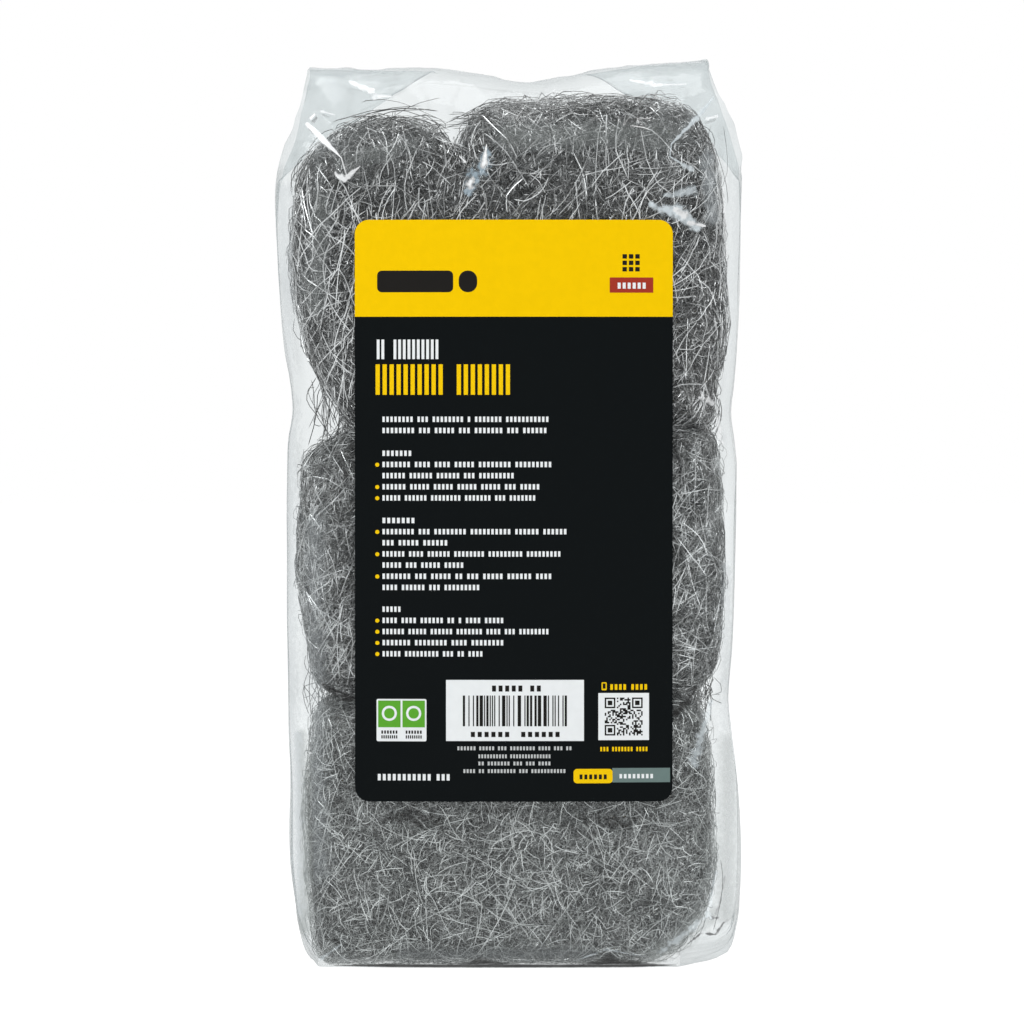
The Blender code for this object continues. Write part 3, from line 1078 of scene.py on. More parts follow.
class StrandMaker:
    """Lays strands over a form and keeps them as splines until they are made a mesh."""

    TONE = "tone"
    SIDES = 3
    BLUNT = 0.65
    LIMIT = 190000
    APART = 2e-6
    WELD = 1e-7
    KINK = 1.2
    # Heights in millimetres where the painted shade by the label's top edge begins, is deepest and ends.
    DIM_AT = (160.0, 189.0, 206.0)

    def __init__(self, form: bmesh.types.BMesh, seed: int) -> None:
        """Read the form that the strands lie on.

        Args:
            form: a closed shape.
            seed: the number that starts the random draws.
        """
        self.random = np.random.default_rng(seed)
        self.tree = BVHTree.FromBMesh(form)
        triangles = form.calc_loop_triangles()
        self.corners = np.array([[loop.vert.co[:] for loop in tri] for tri in triangles])
        sides = self.corners[:, 1:] - self.corners[:, :1]
        cross = np.cross(sides[:, 0], sides[:, 1])
        self.area = np.linalg.norm(cross, axis=1)
        self.normal = cross / np.maximum(self.area, 1e-12)[:, None]
        self.paths: list[np.ndarray] = []
        self.radii: list[np.ndarray] = []
        self.tones: list[np.ndarray] = []

    def starts(self, count: int, weight: np.ndarray) -> tuple[np.ndarray, np.ndarray]:
        """Choose places on the form.

        Args:
            count: how many.
            weight: how much each triangle is favoured.

        Returns:
            The places, and the way that the surface faces there.
        """
        share = self.area * weight
        chosen = self.random.choice(len(share), size=count, p=share / share.sum())
        a = np.sqrt(self.random.random((count, 1)))
        b = self.random.random((count, 1))
        corner = self.corners[chosen]
        place = (1 - a) * corner[:, 0] + a * (1 - b) * corner[:, 1] + a * b * corner[:, 2]
        return place, self.normal[chosen]

    def settle(self, place: np.ndarray) -> tuple[np.ndarray, np.ndarray]:
        """Drop places onto the form and return them and the way it faces there."""
        found = [self.tree.find_nearest(p)[:2] for p in place]
        return np.array([f[0] for f in found]), np.array([f[1] for f in found])

    def lay(self, kind: StrandKind, weight: np.ndarray) -> None:
        """Lay strands of one kind.

        Args:
            kind: the kind.
            weight: how much each of the form's triangles is favoured.
        """
        rand, count = self.random, kind.count
        low_enough = self.corners[:, :, 2].mean(axis=1) < kind.under * MM
        place, normal = self.starts(count, weight * low_enough)
        # Painted shade: strands darken towards the label's top edge.
        dim = np.interp(place[:, 2] / MM, self.DIM_AT, (1.0, kind.dim, 1.0))
        heading = rand.normal(size=(count, 3)) + np.array(kind.lean) * rand.choice((-1, 1), (count, 1))
        step = rand.uniform(*kind.length, (count, 1)) * MM / (kind.points - 1)
        lift = rand.uniform(*kind.lift, (count, 1))
        loft = rand.uniform(0.0, 1.0, (count, 1)) * kind.loft
        bend = rand.normal(0, kind.wander, (count, 1))
        path = np.empty((count, kind.points, 3))
        for k in range(kind.points):
            arch = math.sin(math.pi * k / (kind.points - 1))
            path[:, k] = place + normal * (lift + loft * arch) * MM
            heading = heading - normal * np.sum(heading * normal, axis=1, keepdims=True)
            heading /= np.maximum(np.linalg.norm(heading, axis=1, keepdims=True), 1e-9)
            turn = bend + rand.normal(0, kind.jitter, (count, 1))
            kink = rand.random((count, 1)) < kind.kinks
            turn += kink * rand.uniform(-self.KINK, self.KINK, (count, 1))
            heading = heading * np.cos(turn) + np.cross(normal, heading) * np.sin(turn)
            place, normal = self.settle(place + heading * step)
        tone = kind.tone[0] + (kind.tone[1] - kind.tone[0]) * rand.random(count) ** kind.bias
        self.keep(path, rand.uniform(*kind.radius, count), tone * dim)

    def arc(self, tuft: Tuft) -> None:
        """Add a tuft of loose strands."""
        rand, count = self.random, tuft.count
        ends = [
            np.array(end) + rand.normal(0, tuft.spread, (count, 3)) for end in (tuft.start, tuft.end)
        ]
        middle = (ends[0] + ends[1]) / 2 + rand.normal(0, tuft.bulge, (count, 3))
        share = np.linspace(0, 1, tuft.points)[None, :, None]
        path = (
            ends[0][:, None] * (1 - share) ** 2
            + middle[:, None] * 2 * share * (1 - share)
            + ends[1][:, None] * share**2
        )
        curl = rand.uniform(0.2, 1.0, (count, 1, 3)) * np.sin(
            rand.uniform(3, 9, (count, 1, 3)) * share + rand.uniform(0, 6, (count, 1, 3))
        )
        tone = rand.uniform(*tuft.tone, count)
        self.keep((path + curl) * MM, rand.uniform(*tuft.radius, count), tone)

    def keep(self, path: np.ndarray, radius: np.ndarray, tone: np.ndarray) -> None:
        """Note strands for the mesh, with their ends drawn to points.

        Args:
            path: each strand's points.
            radius: each strand's radius in millimetres.
            tone: each strand's tone.
        """
        if path.shape[1] > 3:
            path[:, 0] += self.BLUNT * (path[:, 1] - path[:, 0])
            path[:, -1] += self.BLUNT * (path[:, -2] - path[:, -1])
        thick = np.repeat(radius[:, None] * MM, path.shape[1], axis=1)
        thick[:, (0, -1)] = 0.0
        self.paths += list(path)
        self.radii += list(thick)
        self.tones += list(tone)

    def make(self, name: str, material: bpy.types.Material, bag: FilmBag) -> list[bpy.types.Object]:
        """Turn the strands into meshes, none of which is too large.

        Args:
            name: how the pieces' names start.
            material: their material.
            bag: the bag that they stay in.

        Returns:
            The pieces.
        """
        last = np.cumsum([2 * self.SIDES * len(path) for path in self.paths]) // self.LIMIT
        made = []
        for part in range(int(last[-1]) + 1):
            chosen = np.nonzero(last == part)[0]
            made.append(self._piece(f"{name}_{part + 1}", material, bag, chosen))
        return made

    def _piece(
        self, name: str, material: bpy.types.Material, bag: FilmBag, chosen: np.ndarray
    ) -> bpy.types.Object:
        """Turn some of the strands into one mesh of thin three-sided rods with pointed ends.

        Args:
            name: the piece's name.
            material: its material.
            bag: the bag that they stay in.
            chosen: the numbers of the strands.

        Returns:
            The piece.
        """
        profile = self._triangle()
        curve = bpy.data.curves.new(name, "CURVE")
        curve.dimensions = "3D"
        curve.bevel_mode = "OBJECT"
        curve.bevel_object = profile
        for k in chosen:
            path = self.paths[k]
            spline = curve.splines.new("POLY")
            spline.points.add(len(path) - 1)
            inside = bag.kept_inside(path) + np.arange(len(path))[:, None] * self.APART
            spline.points.foreach_set("co", np.c_[inside, np.ones(len(path))].ravel())
            spline.points.foreach_set("radius", self.radii[k])
        holder = bpy.data.objects.new(name, curve)
        bpy.context.scene.collection.objects.link(holder)
        depsgraph = bpy.context.evaluated_depsgraph_get()
        mesh = bpy.data.meshes.new_from_object(holder.evaluated_get(depsgraph))
        bpy.data.objects.remove(holder)
        bpy.data.curves.remove(curve)
        bpy.data.objects.remove(profile)
        sizes = [self.SIDES * len(self.paths[k]) for k in chosen]
        tones = np.repeat(np.array(self.tones, dtype=np.float32)[chosen], sizes)
        mesh.attributes.new(self.TONE, "FLOAT", "POINT").data.foreach_set("value", tones)
        bm = bmesh.new()
        bm.from_mesh(mesh)
        bpy.data.meshes.remove(mesh)
        bmesh.ops.remove_doubles(bm, verts=bm.verts, dist=self.WELD)
        bmesh.ops.recalc_face_normals(bm, faces=bm.faces)
        for face in bm.faces:
            face.smooth = False
        return new_piece(name, bm, material)

    @staticmethod
    def _triangle() -> bpy.types.Object:
        """Make the section that every strand is drawn with, of unit radius."""
        curve = bpy.data.curves.new("strand_section", "CURVE")
        curve.dimensions = "2D"
        spline = curve.splines.new("POLY")
        spline.points.add(StrandMaker.SIDES - 1)
        for k, point in enumerate(spline.points):
            angle = 2 * math.pi * k / StrandMaker.SIDES
            point.co = (math.cos(angle), math.sin(angle), 0.0, 1.0)
        spline.use_cyclic_u = True
        made = bpy.data.objects.new("strand_section", curve)
        bpy.context.scene.collection.objects.link(made)
        return made


class PadOutline:
    """A row's outline from the front: a smooth closed curve through points in millimetres."""

    def __init__(self, points: Sequence[Span], middle: Span, steps: int = 400) -> None:
        """Draw the curve.

        Args:
            points: the points, in order round the pad.
            middle: the pad's middle.
            steps: how many places of the curve are kept.
        """
        wrapped = [*points[-2:], *points, *points[:3]]
        runs = [math.dist(a, b) for a, b in zip(wrapped, wrapped[1:])]
        places = [sum(runs[:k]) for k in range(len(wrapped))]
        along = np.linspace(places[2], places[2 + len(points)], steps, endpoint=False)
        x = np.array([smooth_through(at, places, [p[0] for p in wrapped]) for at in along])
        z = np.array([smooth_through(at, places, [p[1] for p in wrapped]) for at in along])
        x, z = x - middle[0], z - middle[1]
        self.angle = np.arctan2(z, x)
        self.radius = np.hypot(x, z)
        order = np.argsort(self.angle)
        self.angle, self.radius = self.angle[order], self.radius[order]

    def reach(self, angle: float) -> float:
        """Return how far the outline is from the middle in a direction."""
        return float(np.interp(angle, self.angle, self.radius, period=2 * math.pi))


@dataclass
class SteelWoolPad:
    """One soft pad: a pillow of matted steel with loose strands all over it."""

    grade: Grade
    layer: Layer
    kinds: Sequence[StrandKind]
    tufts: Sequence[Tuft]
    outline: Sequence[Span]
    ground: bpy.types.Material
    strand: bpy.types.Material
    bag: FilmBag
    seed: int
    rim: float = 10.0
    lump: float = 1.1
    lumps_apart: float = 17.0
    sink: float = 0.35
    core_depth: float = 0.9
    film_gap: float = 1.4
    cuts: int = 26
    rim_facing: float = 0.75
    seam_facing: Span = (0.3, 0.93)
    seam_rise: float = 0.25
    join_facing: Span = (0.5, 0.97)
    hidden_share: float = 0.04
    hidden_inset: float = 3.0

    @property
    def node(self) -> str:
        """Name the node that the pad stands for."""
        return f"{self.grade.value}_pad_{self.layer.value}"

    def form(self) -> bmesh.types.BMesh:
        """Shape the pad's pillow from a cube.

        Returns:
            The closed shape, in its place.
        """
        lo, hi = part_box(self.node)
        centre = (lo + hi) / 2
        half = (hi - lo) / 2
        outline = PadOutline(self.outline, (centre.x / MM, centre.z / MM))
        bm = bmesh.new()
        bmesh.ops.create_cube(bm, size=2.0)
        bmesh.ops.subdivide_edges(bm, edges=bm.edges, cuts=self.cuts, use_grid_fill=True)
        for vert in bm.verts:
            vert.co = self.pillow(vert.co, half, outline) + centre
        bm.normal_update()
        drift = Vector((self.seed * 3.7, self.seed * 1.3, 0.0))
        for vert in bm.verts:
            swell = noise.noise(vert.co / (self.lumps_apart * MM) + drift)
            swell += 0.5 * noise.noise(vert.co / (0.4 * self.lumps_apart * MM) + drift)
            vert.co += vert.normal * (self.lump * (swell - self.sink) * MM)
        inside = self.bag.kept_inside(np.array([vert.co for vert in bm.verts]), self.film_gap)
        for vert, place in zip(bm.verts, inside):
            vert.co = place
        bm.normal_update()
        return bm

    def pillow(self, unit: Vector, half: Vector, outline: PadOutline) -> Vector:
        """Round a point of a cube to the pad's soft block.

        Args:
            unit: the point on a cube from -1 to 1.
            half: half the pad's size.
            outline: the pad's outline from the front.

        Returns:
            The point, from the pad's centre.
        """
        rim = self.rim * MM
        share = max(abs(unit.x), abs(unit.z))
        if share < 1e-9:
            return Vector((0.0, unit.y * half.y, 0.0))
        angle = math.atan2(unit.z * half.z, unit.x * half.x)
        reach = outline.reach(angle) * MM
        out, across = share * reach, unit.y * half.y
        out_in = min(out, reach - rim)
        across_in = max(rim - half.y, min(half.y - rim, across))
        arm = Vector((out - out_in, across - across_in))
        if arm.length > rim:
            arm = arm.normalized() * rim
        out, across = out_in + arm.x, across_in + arm.y
        return Vector((math.cos(angle) * out, across, math.sin(angle) * out))

    def favour(self, maker: StrandMaker) -> np.ndarray:
        """Weigh where strands are worth laying: what shows, and less of what is hidden.

        Args:
            maker: the strands' maker, which holds the form's triangles.

        Returns:
            One weight for each triangle.
        """
        facing = maker.normal[:, 1]
        centre = maker.corners.mean(axis=1)
        if self.layer is Layer.FRONT:
            weight = np.interp(facing, (-1.0, -0.4, 0.0, 0.6), (1.0, 1.0, 0.45, 0.03))
        elif self.layer is Layer.BACK:
            weight = np.interp(facing, (-0.6, 0.0, 0.4, 1.0), (0.03, 0.6, 1.0, 1.0))
        else:
            weight = np.where(np.abs(facing) < 0.75, 1.0, 0.02)
        lo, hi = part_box("label")
        inset = self.hidden_inset * MM
        hidden = (
            (centre[:, 0] > lo.x + inset)
            & (centre[:, 0] < hi.x - inset)
            & (centre[:, 2] > lo.z + inset)
            & (centre[:, 2] < hi.z - inset)
            & (facing < -0.3)
        )
        if self.layer is Layer.FRONT:
            weight = np.where(hidden, self.hidden_share, weight)
        return weight

    @staticmethod
    def between(values: np.ndarray, limits: Span) -> np.ndarray:
        """Return one for each value inside two limits and nothing for the rest."""
        return np.where((values > limits[0]) & (values < limits[1]), 1.0, 0.0)

    def make(self) -> None:
        """Build the pad's ground and its strands."""
        form = self.form()
        maker = StrandMaker(form, self.seed)
        weight = self.favour(maker)
        across, upward = np.abs(maker.normal[:, 1]), np.abs(maker.normal[:, 2])
        weights = {
            Zone.ALL: weight,
            Zone.RIM: weight * (across < self.rim_facing),
            Zone.SEAM: self.between(across, self.seam_facing) * (upward > self.seam_rise),
            Zone.JOIN: self.between(across, self.join_facing),
        }
        for kind in self.kinds:
            maker.lay(kind, weights[kind.zone])
        for tuft in self.tufts:
            maker.arc(tuft)
        for vert in form.verts:
            vert.co -= vert.normal * (self.core_depth * MM)
        for face in form.faces:
            face.smooth = True
        core = new_piece(f"{self.node}_ground", form, self.ground)
        strands = maker.make(f"{self.node}_strands", self.strand, self.bag)
        for piece in (core, *strands):
            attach(piece, ROOT)
            report(piece)
        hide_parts(self.node)


@dataclass
class WoolStack:
    """The nine pads, each row of one grade, with outlines in millimetres from the front."""

    bag: FilmBag
    outlines: dict[Grade, list[Span]] = field(
        default_factory=lambda: {
            Grade.COARSE: [
                (-39.5, 136.4), (-43.2, 141.0), (-47.6, 147.5), (-51.6, 157.0), (-54.4, 169.0),
                (-54.9, 184.0), (-51.8, 201.5), (-45.3, 208.8), (-34.0, 213.4), (-19.0, 212.6),
                (-13.5, 205.0), (-10.0, 214.0), (0.0, 218.0), (20.0, 219.0), (38.0, 218.3),
                (46.5, 214.5), (51.8, 206.0), (54.0, 186.0), (54.6, 170.0), (53.6, 152.0),
                (51.8, 143.0), (51.4, 138.0), (47.0, 135.4), (15.0, 135.5), (-20.0, 135.5),
            ],
            Grade.MEDIUM: [
                (-47.4, 70.0), (-50.8, 77.0), (-52.6, 90.0), (-53.9, 103.0), (-52.9, 117.0),
                (-52.0, 126.5), (-47.5, 131.5), (-41.0, 134.6), (-15.0, 135.5), (15.0, 135.5),
                (47.0, 135.6), (51.8, 134.0), (53.0, 129.0), (54.2, 116.0), (54.5, 103.0),
                (53.0, 82.0), (49.6, 70.5), (40.0, 67.3), (15.0, 67.2), (-15.0, 67.2),
                (-40.0, 67.3),
            ],
            Grade.FINE: [
                (-48.4, 64.6), (-50.2, 56.0), (-51.8, 45.0), (-51.8, 31.0), (-50.8, 17.0),
                (-49.8, 6.0), (-47.0, 1.0), (-41.0, -0.4), (-15.0, -0.4), (15.0, -0.4),
                (33.0, 0.2), (41.0, 3.0), (46.8, 9.0), (51.2, 18.0), (52.4, 28.0),
                (51.8, 40.0), (50.8, 55.0), (48.2, 64.4), (40.0, 67.3), (15.0, 67.2),
                (-15.0, 67.2), (-40.0, 67.3),
            ],
        }
    )
    layer_share: dict[Layer, float] = field(
        default_factory=lambda: {Layer.FRONT: 1.0, Layer.MIDDLE: 0.10, Layer.BACK: 0.36}
    )
    edge_share: dict[Layer, float] = field(
        default_factory=lambda: {Layer.FRONT: 1.0, Layer.MIDDLE: 0.55, Layer.BACK: 0.65}
    )
    roof_from: float = 196.0
    roof_squeeze: float = 0.6
    narrow: dict[Layer, float] = field(
        default_factory=lambda: {Layer.MIDDLE: 0.82, Layer.BACK: 0.95}
    )
    joining: StrandKind = StrandKind(
        450, (6, 13), 5, (0.05, 0.09), (0.05, 0.4), (0.0, 0.8), 2.4, 0.3, zone=Zone.JOIN
    )

    def kinds(self, grade: Grade) -> list[StrandKind]:
        """Say which strands a front pad has: fuzz, curls, long ones, gleams, sparks and loops. The gleams
        and sparks are strands of the top tones, painted glints.
        """
        up, steep = (0.4, 0.0, 1.3), (0.5, 0.0, 2.6)
        thin, wiry, fat = (0.045, 0.075), (0.07, 0.11), (0.10, 0.16)
        hair = (0.05, 0.082)
        rim, seam = Zone.RIM, Zone.SEAM
        loops = StrandKind(240, (6, 15), 6, thin, (0.1, 0.5), (0.0, 0.8), 2.6, 0.35, zone=seam)
        return {
            Grade.COARSE: [
                StrandKind(12500, (2.1, 5.6), 3, hair, (0.03, 0.73), wander=0.4, bias=1.2, dim=0.5),
                StrandKind(
                    2300, (5, 15), 5, wiry, (0.15, 0.9), (-0.3, 0.5), 0.4, 0.22, lean=up, bias=1.7,
                    dim=0.8,
                ),
                StrandKind(
                    430, (9, 25), 8, (0.10, 0.16), (0.9, 1.0), (0.3, 1.4), wander=0.09, jitter=0.1,
                    lean=steep, under=203.0,
                ),
                StrandKind(220, (15, 33), 8, wiry, (0.1, 0.6), (0.0, 0.9), wander=0.12, lean=up),
                StrandKind(
                    750, (1.4, 3.6), 3, fat, (0.9, 1.0), (0.3, 1.0), wander=0.08, lean=steep, under=208.0
                ),
                StrandKind(4200, (0.5, 1.8), 3, (0.08, 0.14), (0.85, 1.0), (0.0, 0.8)),
                StrandKind(240, (9, 19), 7, wiry, (0.0, 0.35), (0.0, 0.6), 1.6, 0.36, zone=rim),
                replace(loops, radius=wiry, tone=(0.0, 0.4)),
            ],
            Grade.MEDIUM: [
                StrandKind(11000, (2.1, 6), 3, hair, (0.1, 0.75), wander=0.4, bias=1.2),
                StrandKind(
                    2700, (5, 14), 5, wiry, (0.25, 1.0), (-0.3, 0.5), 0.3, 0.22, lean=up, bias=1.3
                ),
                StrandKind(
                    300, (10, 26), 7, (0.09, 0.13), (0.7, 1.0), (0.2, 0.9), wander=0.09, jitter=0.05,
                    lean=up,
                ),
                StrandKind(700, (1.1, 3.3), 3, (0.09, 0.15), (0.9, 1.0), (0.3, 0.9), wander=0.1, lean=up),
                StrandKind(3100, (0.5, 1.6), 3, (0.07, 0.13), (0.8, 1.0), (0.0, 0.6)),
                StrandKind(180, (7, 15), 6, thin, (0.0, 0.4), (0.0, 0.4), 1.8, 0.32, zone=rim),
                loops,
            ],
            Grade.FINE: [
                StrandKind(16500, (1.7, 4.3), 3, hair, (0.38, 0.72), wander=0.5),
                StrandKind(
                    1600, (4, 12), 6, (0.07, 0.10), (0.65, 1.0), (0.1, 0.6), 0.4, 0.22, 0.13, 0.06
                ),
                StrandKind(
                    170, (14, 29), 8, wiry, (0.7, 0.9), (0.1, 0.6), wander=0.10, jitter=0.06
                ),
                StrandKind(420, (1.1, 2.6), 3, (0.09, 0.14), (0.95, 1.0), (0.3, 0.8), wander=0.15),
                StrandKind(2400, (0.5, 1.4), 3, (0.07, 0.11), (0.75, 1.0), (0.0, 0.5)),
                StrandKind(130, (6, 13), 6, thin, (0.1, 0.5), (0.0, 0.4), 1.4, 0.35, zone=rim),
                replace(loops, tone=(0.2, 0.6)),
            ],
        }[grade]

    def tufts(self, grade: Grade) -> list[Tuft]:
        """Say which loose strands a front pad has at its outline."""
        return {
            Grade.COARSE: [
                Tuft((-46.0, -24.0, 149.0), (-45.0, -22.0, 132.0), 3.0, 4.5, 30),
                Tuft((-43.0, -24.0, 208.0), (-17.0, -24.0, 211.0), 3.5, 5.0, 46),
                Tuft((-14.0, -24.0, 211.0), (6.0, -24.0, 216.0), 2.5, 3.0, 40, radius=(0.06, 0.11)),
                Tuft((2.0, -24.0, 216.0), (44.0, -24.0, 214.0), 3.0, 4.0, 34, radius=(0.06, 0.11)),
                Tuft((50.0, -25.0, 212.0), (53.0, -22.0, 190.0), 2.0, 2.5, 7, radius=(0.06, 0.11)),
                Tuft((50.0, -26.0, 147.0), (50.0, -24.0, 133.0), 2.0, 2.0, 20),
            ],
            Grade.MEDIUM: [
                Tuft((-46.5, -26.0, 77.0), (-46.0, -24.0, 63.0), 2.2, 2.2, 30, radius=(0.07, 0.12)),
                Tuft((48.5, -26.0, 76.0), (47.5, -24.0, 60.0), 2.0, 2.2, 26, radius=(0.07, 0.12)),
            ],
            Grade.FINE: [
                Tuft((51.0, -24.0, 28.0), (47.0, -24.0, 9.0), 1.5, 2.0, 14, radius=(0.06, 0.1)),
            ],
        }[grade]

    def plugs(self, grade: Grade, layer: Layer) -> list[Tuft]:
        """Say which loose strands fill the hollows where four pads meet."""
        if grade is not Grade.MEDIUM or layer is not Layer.MIDDLE:
            return []
        return [
            Tuft((x, y - 3.0, z - 3.0), (x, y + 3.0, z + 3.0), 1.8, 2.5, 20, 8, (0.07, 0.12))
            for x in (-41.0, -35.0, 42.0, 48.0)
            for y in (-10.9, 10.9)
            for z in (67.3, 135.4)
        ]

    def outline(self, grade: Grade, layer: Layer) -> list[Span]:
        """Return a pad's outline, which is lower at the top behind the front pad."""
        points = self.outlines[grade]
        if layer is Layer.FRONT or grade is not Grade.COARSE:
            return points
        top, squeeze, narrow = self.roof_from, self.roof_squeeze, self.narrow[layer]
        return [(x * narrow, top + (z - top) * squeeze) if z > top else (x, z) for x, z in points]

    def grounds(self) -> dict[Grade, WoolFinish]:
        """Return the grounds' finishes, whose near-black gap colours are painted shade."""
        return {
            Grade.COARSE: WoolFinish(
                "coarse_ground", (0.010, 0.008, 0.007), (0.16, 0.155, 0.15), (0.6, 0.6, 0.6), 420
            ),
            Grade.MEDIUM: WoolFinish(
                "medium_ground", (0.015, 0.014, 0.013), (0.20, 0.20, 0.195), (0.6, 0.6, 0.6), 520, 70
            ),
            Grade.FINE: WoolFinish(
                "fine_ground", (0.03, 0.03, 0.029), (0.30, 0.30, 0.29), (0.6, 0.6, 0.6), 620, 80
            ),
        }

    def strands(self) -> dict[Grade, StrandFinish]:
        """Return the strands' finishes."""
        return {
            Grade.COARSE: StrandFinish("coarse_strand", (0.035, 0.032, 0.03), (1.0, 1.0, 1.0), 0.72),
            Grade.MEDIUM: StrandFinish("medium_strand", (0.07, 0.068, 0.065), (0.95, 0.96, 0.96)),
            Grade.FINE: StrandFinish("fine_strand", (0.09, 0.092, 0.09), (0.92, 0.94, 0.93), 0.7),
        }

    def make(self) -> None:
        """Build every pad."""
        grounds, strands = self.grounds(), self.strands()
        for row, grade in enumerate(Grade):
            ground = grounds[grade].make()
            strand = strands[grade].make()
            for column, layer in enumerate(Layer):
                share, edge_share = self.layer_share[layer], self.edge_share[layer]
                kinds = [
                    replace(
                        kind,
                        count=int(kind.count * (share if kind.zone is Zone.ALL else edge_share)),
                    )
                    for kind in self.kinds(grade)
                ]
                if layer is Layer.MIDDLE:
                    kinds.append(self.joining)
                in_front = layer is Layer.FRONT
                pad = SteelWoolPad(
                    grade=grade,
                    layer=layer,
                    kinds=kinds,
                    tufts=self.tufts(grade) if in_front else self.plugs(grade, layer),
                    outline=self.outline(grade, layer),
                    ground=ground,
                    strand=strand,
                    bag=self.bag,
                    seed=11 + 10 * row + column,
                    lump=0.7 if grade is Grade.FINE else 1.1,
                    sink=0.35 if in_front else 0.1,
                    core_depth=0.9 if in_front else 0.5,
                    cuts=26 if in_front else 18,
                )
                pad.make()


class Ink(Enum):
    """The colours that the label is printed in."""

    WHITE = "white"
    YELLOW = "yellow"
    BLACK = "black"
    BRICK = "brick"
    GREEN = "green"
    SLATE = "slate"
    GREY = "grey"


@dataclass
class PrintedLabel:
    """The label and its print. Print sizes are in millimetres from its lower left corner."""

    band: float = 121.3
    corner: float = 3.5
    sheet_thick: float = 0.25
    strip: float = 1.5
    sag: float = 1.5
    sag_at: float = 40.0
    proud: float = 0.03
    seed: int = 5
    inks: dict[Ink, bmesh.types.BMesh] = field(default_factory=dict)

    def __post_init__(self) -> None:
        """Read the label's place from the frame."""
        self.lo, self.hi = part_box("label")
        self.random = np.random.default_rng(self.seed)

    @property
    def width(self) -> float:
        """Return the label's width."""
        return (self.hi.x - self.lo.x) / MM

    @property
    def height(self) -> float:
        """Return the label's height."""
        return (self.hi.z - self.lo.z) / MM

    def front(self, x: float) -> float:
        """Return the y of the label's face at a place across the pack, in metres."""
        return self.lo.y + self.sag * MM * (x / (self.sag_at * MM)) ** 2

    def bend(self, bm: bmesh.types.BMesh, step: float) -> None:
        """Cut a flat shape into strips and bend it round the bag's front.

        Args:
            bm: the shape, with its face at y = 0.
            step: the strips' width in millimetres.
        """
        low = min(v.co.x for v in bm.verts)
        high = max(v.co.x for v in bm.verts)
        count = int((high - low) / (step * MM))
        for k in range(1, count):
            at = low + (high - low) * k / count
            everything = bm.verts[:] + bm.edges[:] + bm.faces[:]
            bmesh.ops.bisect_plane(bm, geom=everything, plane_co=(at, 0, 0), plane_no=(1, 0, 0))
        for vert in bm.verts:
            vert.co.y += self.front(vert.co.x)

    @staticmethod
    def plate(size: Sequence[float], radius: float, segments: int) -> bmesh.types.BMesh:
        """Cut a thin upright plate.

        Args:
            size: its width, thickness and height in metres.
            radius: the radius of its corners, which stay square at 0.
            segments: how many faces round a corner.

        Returns:
            The plate, round the origin.
        """
        bm = bmesh.new()
        bmesh.ops.create_cube(bm, size=1.0, matrix=Matrix.Diagonal((*size, 1.0)))
        if radius > 0:
            across = [e for e in bm.edges if abs(e.verts[0].co.y - e.verts[1].co.y) > size[1] / 2]
            bmesh.ops.bevel(
                bm,
                geom=across,
                offset=radius,
                segments=segments,
                profile=0.5,
                affect="EDGES",
                material=-1,
            )
        return bm

    def block(
        self,
        ink: Ink,
        x: float,
        z: float,
        width: float,
        height: float,
        round_by: float = 0.0,
        layer: int = 1,
    ) -> None:
        """Print one block.

        Args:
            ink: its colour.
            x: its left edge.
            z: its lower edge.
            width: its width.
            height: its height.
            round_by: the radius of its corners.
            layer: how many prints lie under it.
        """
        thick = self.proud * MM
        place = Vector((self.lo.x + (x + width / 2) * MM, 0.0, self.lo.z + (z + height / 2) * MM))
        own = self.plate((width * MM, thick, height * MM), round_by * MM, 5)
        place.y = thick / 2 - layer * thick
        bmesh.ops.translate(own, vec=place, verts=own.verts)
        self.keep(own, ink)

    def keep(self, own: bmesh.types.BMesh, ink: Ink) -> None:
        """Bend a shape and put it with the rest of its colour."""
        self.bend(own, self.strip)
        holder = bpy.data.meshes.new("print_block")
        own.to_mesh(holder)
        own.free()
        self.inks.setdefault(ink, bmesh.new()).from_mesh(holder)
        bpy.data.meshes.remove(holder)

    def words(
        self,
        ink: Ink,
        x: float,
        z: float,
        length: float,
        tall: float,
        counts: Sequence[int],
        layer: int = 1,
        bars: int = 1,
    ) -> None:
        """Print a line of plain upright bars, in groups like words.

        Args:
            ink: their colour.
            x: where the line starts.
            z: the line they stand on.
            length: how long the line is.
            tall: how high the bars are.
            counts: how many places each group has.
            layer: how many prints lie under them.
            bars: how many bars stand in each place.
        """
        pitch = length / (sum(counts) + 0.8 * (len(counts) - 1) - 0.4 / bars)
        at = x
        for count in counts:
            for k in range(count * bars):
                self.block(ink, at + k * pitch / bars, z, 0.6 * pitch / bars, tall, layer=layer)
            at += (count + 0.8) * pitch

    def sheet(self) -> bpy.types.Object:
        """Cut the label's sheet, with its band of yellow over its black."""
        thick = self.sheet_thick * MM
        size = (self.hi.x - self.lo.x, thick, self.hi.z - self.lo.z)
        bm = self.plate(size, self.corner * MM, 10)
        middle = (self.lo + self.hi) / 2
        bmesh.ops.translate(bm, vec=(middle.x, thick / 2, middle.z), verts=bm.verts)
        line = self.lo.z + self.band * MM
        everything = bm.verts[:] + bm.edges[:] + bm.faces[:]
        bmesh.ops.bisect_plane(bm, geom=everything, plane_co=(0, 0, line), plane_no=(0, 0, 1))
        for face in bm.faces:
            if face.calc_center_median().z > line:
                face.material_index = 1
        self.bend(bm, self.strip)
        black = InkFinish("label_black", (0.0033, 0.0048, 0.0054), 0.42, 0.05).make()
        yellow = InkFinish("label_yellow", (0.86, 0.545, 0.0), 0.45, 0.04).make()
        return new_piece("label_sheet", bm, black, yellow)

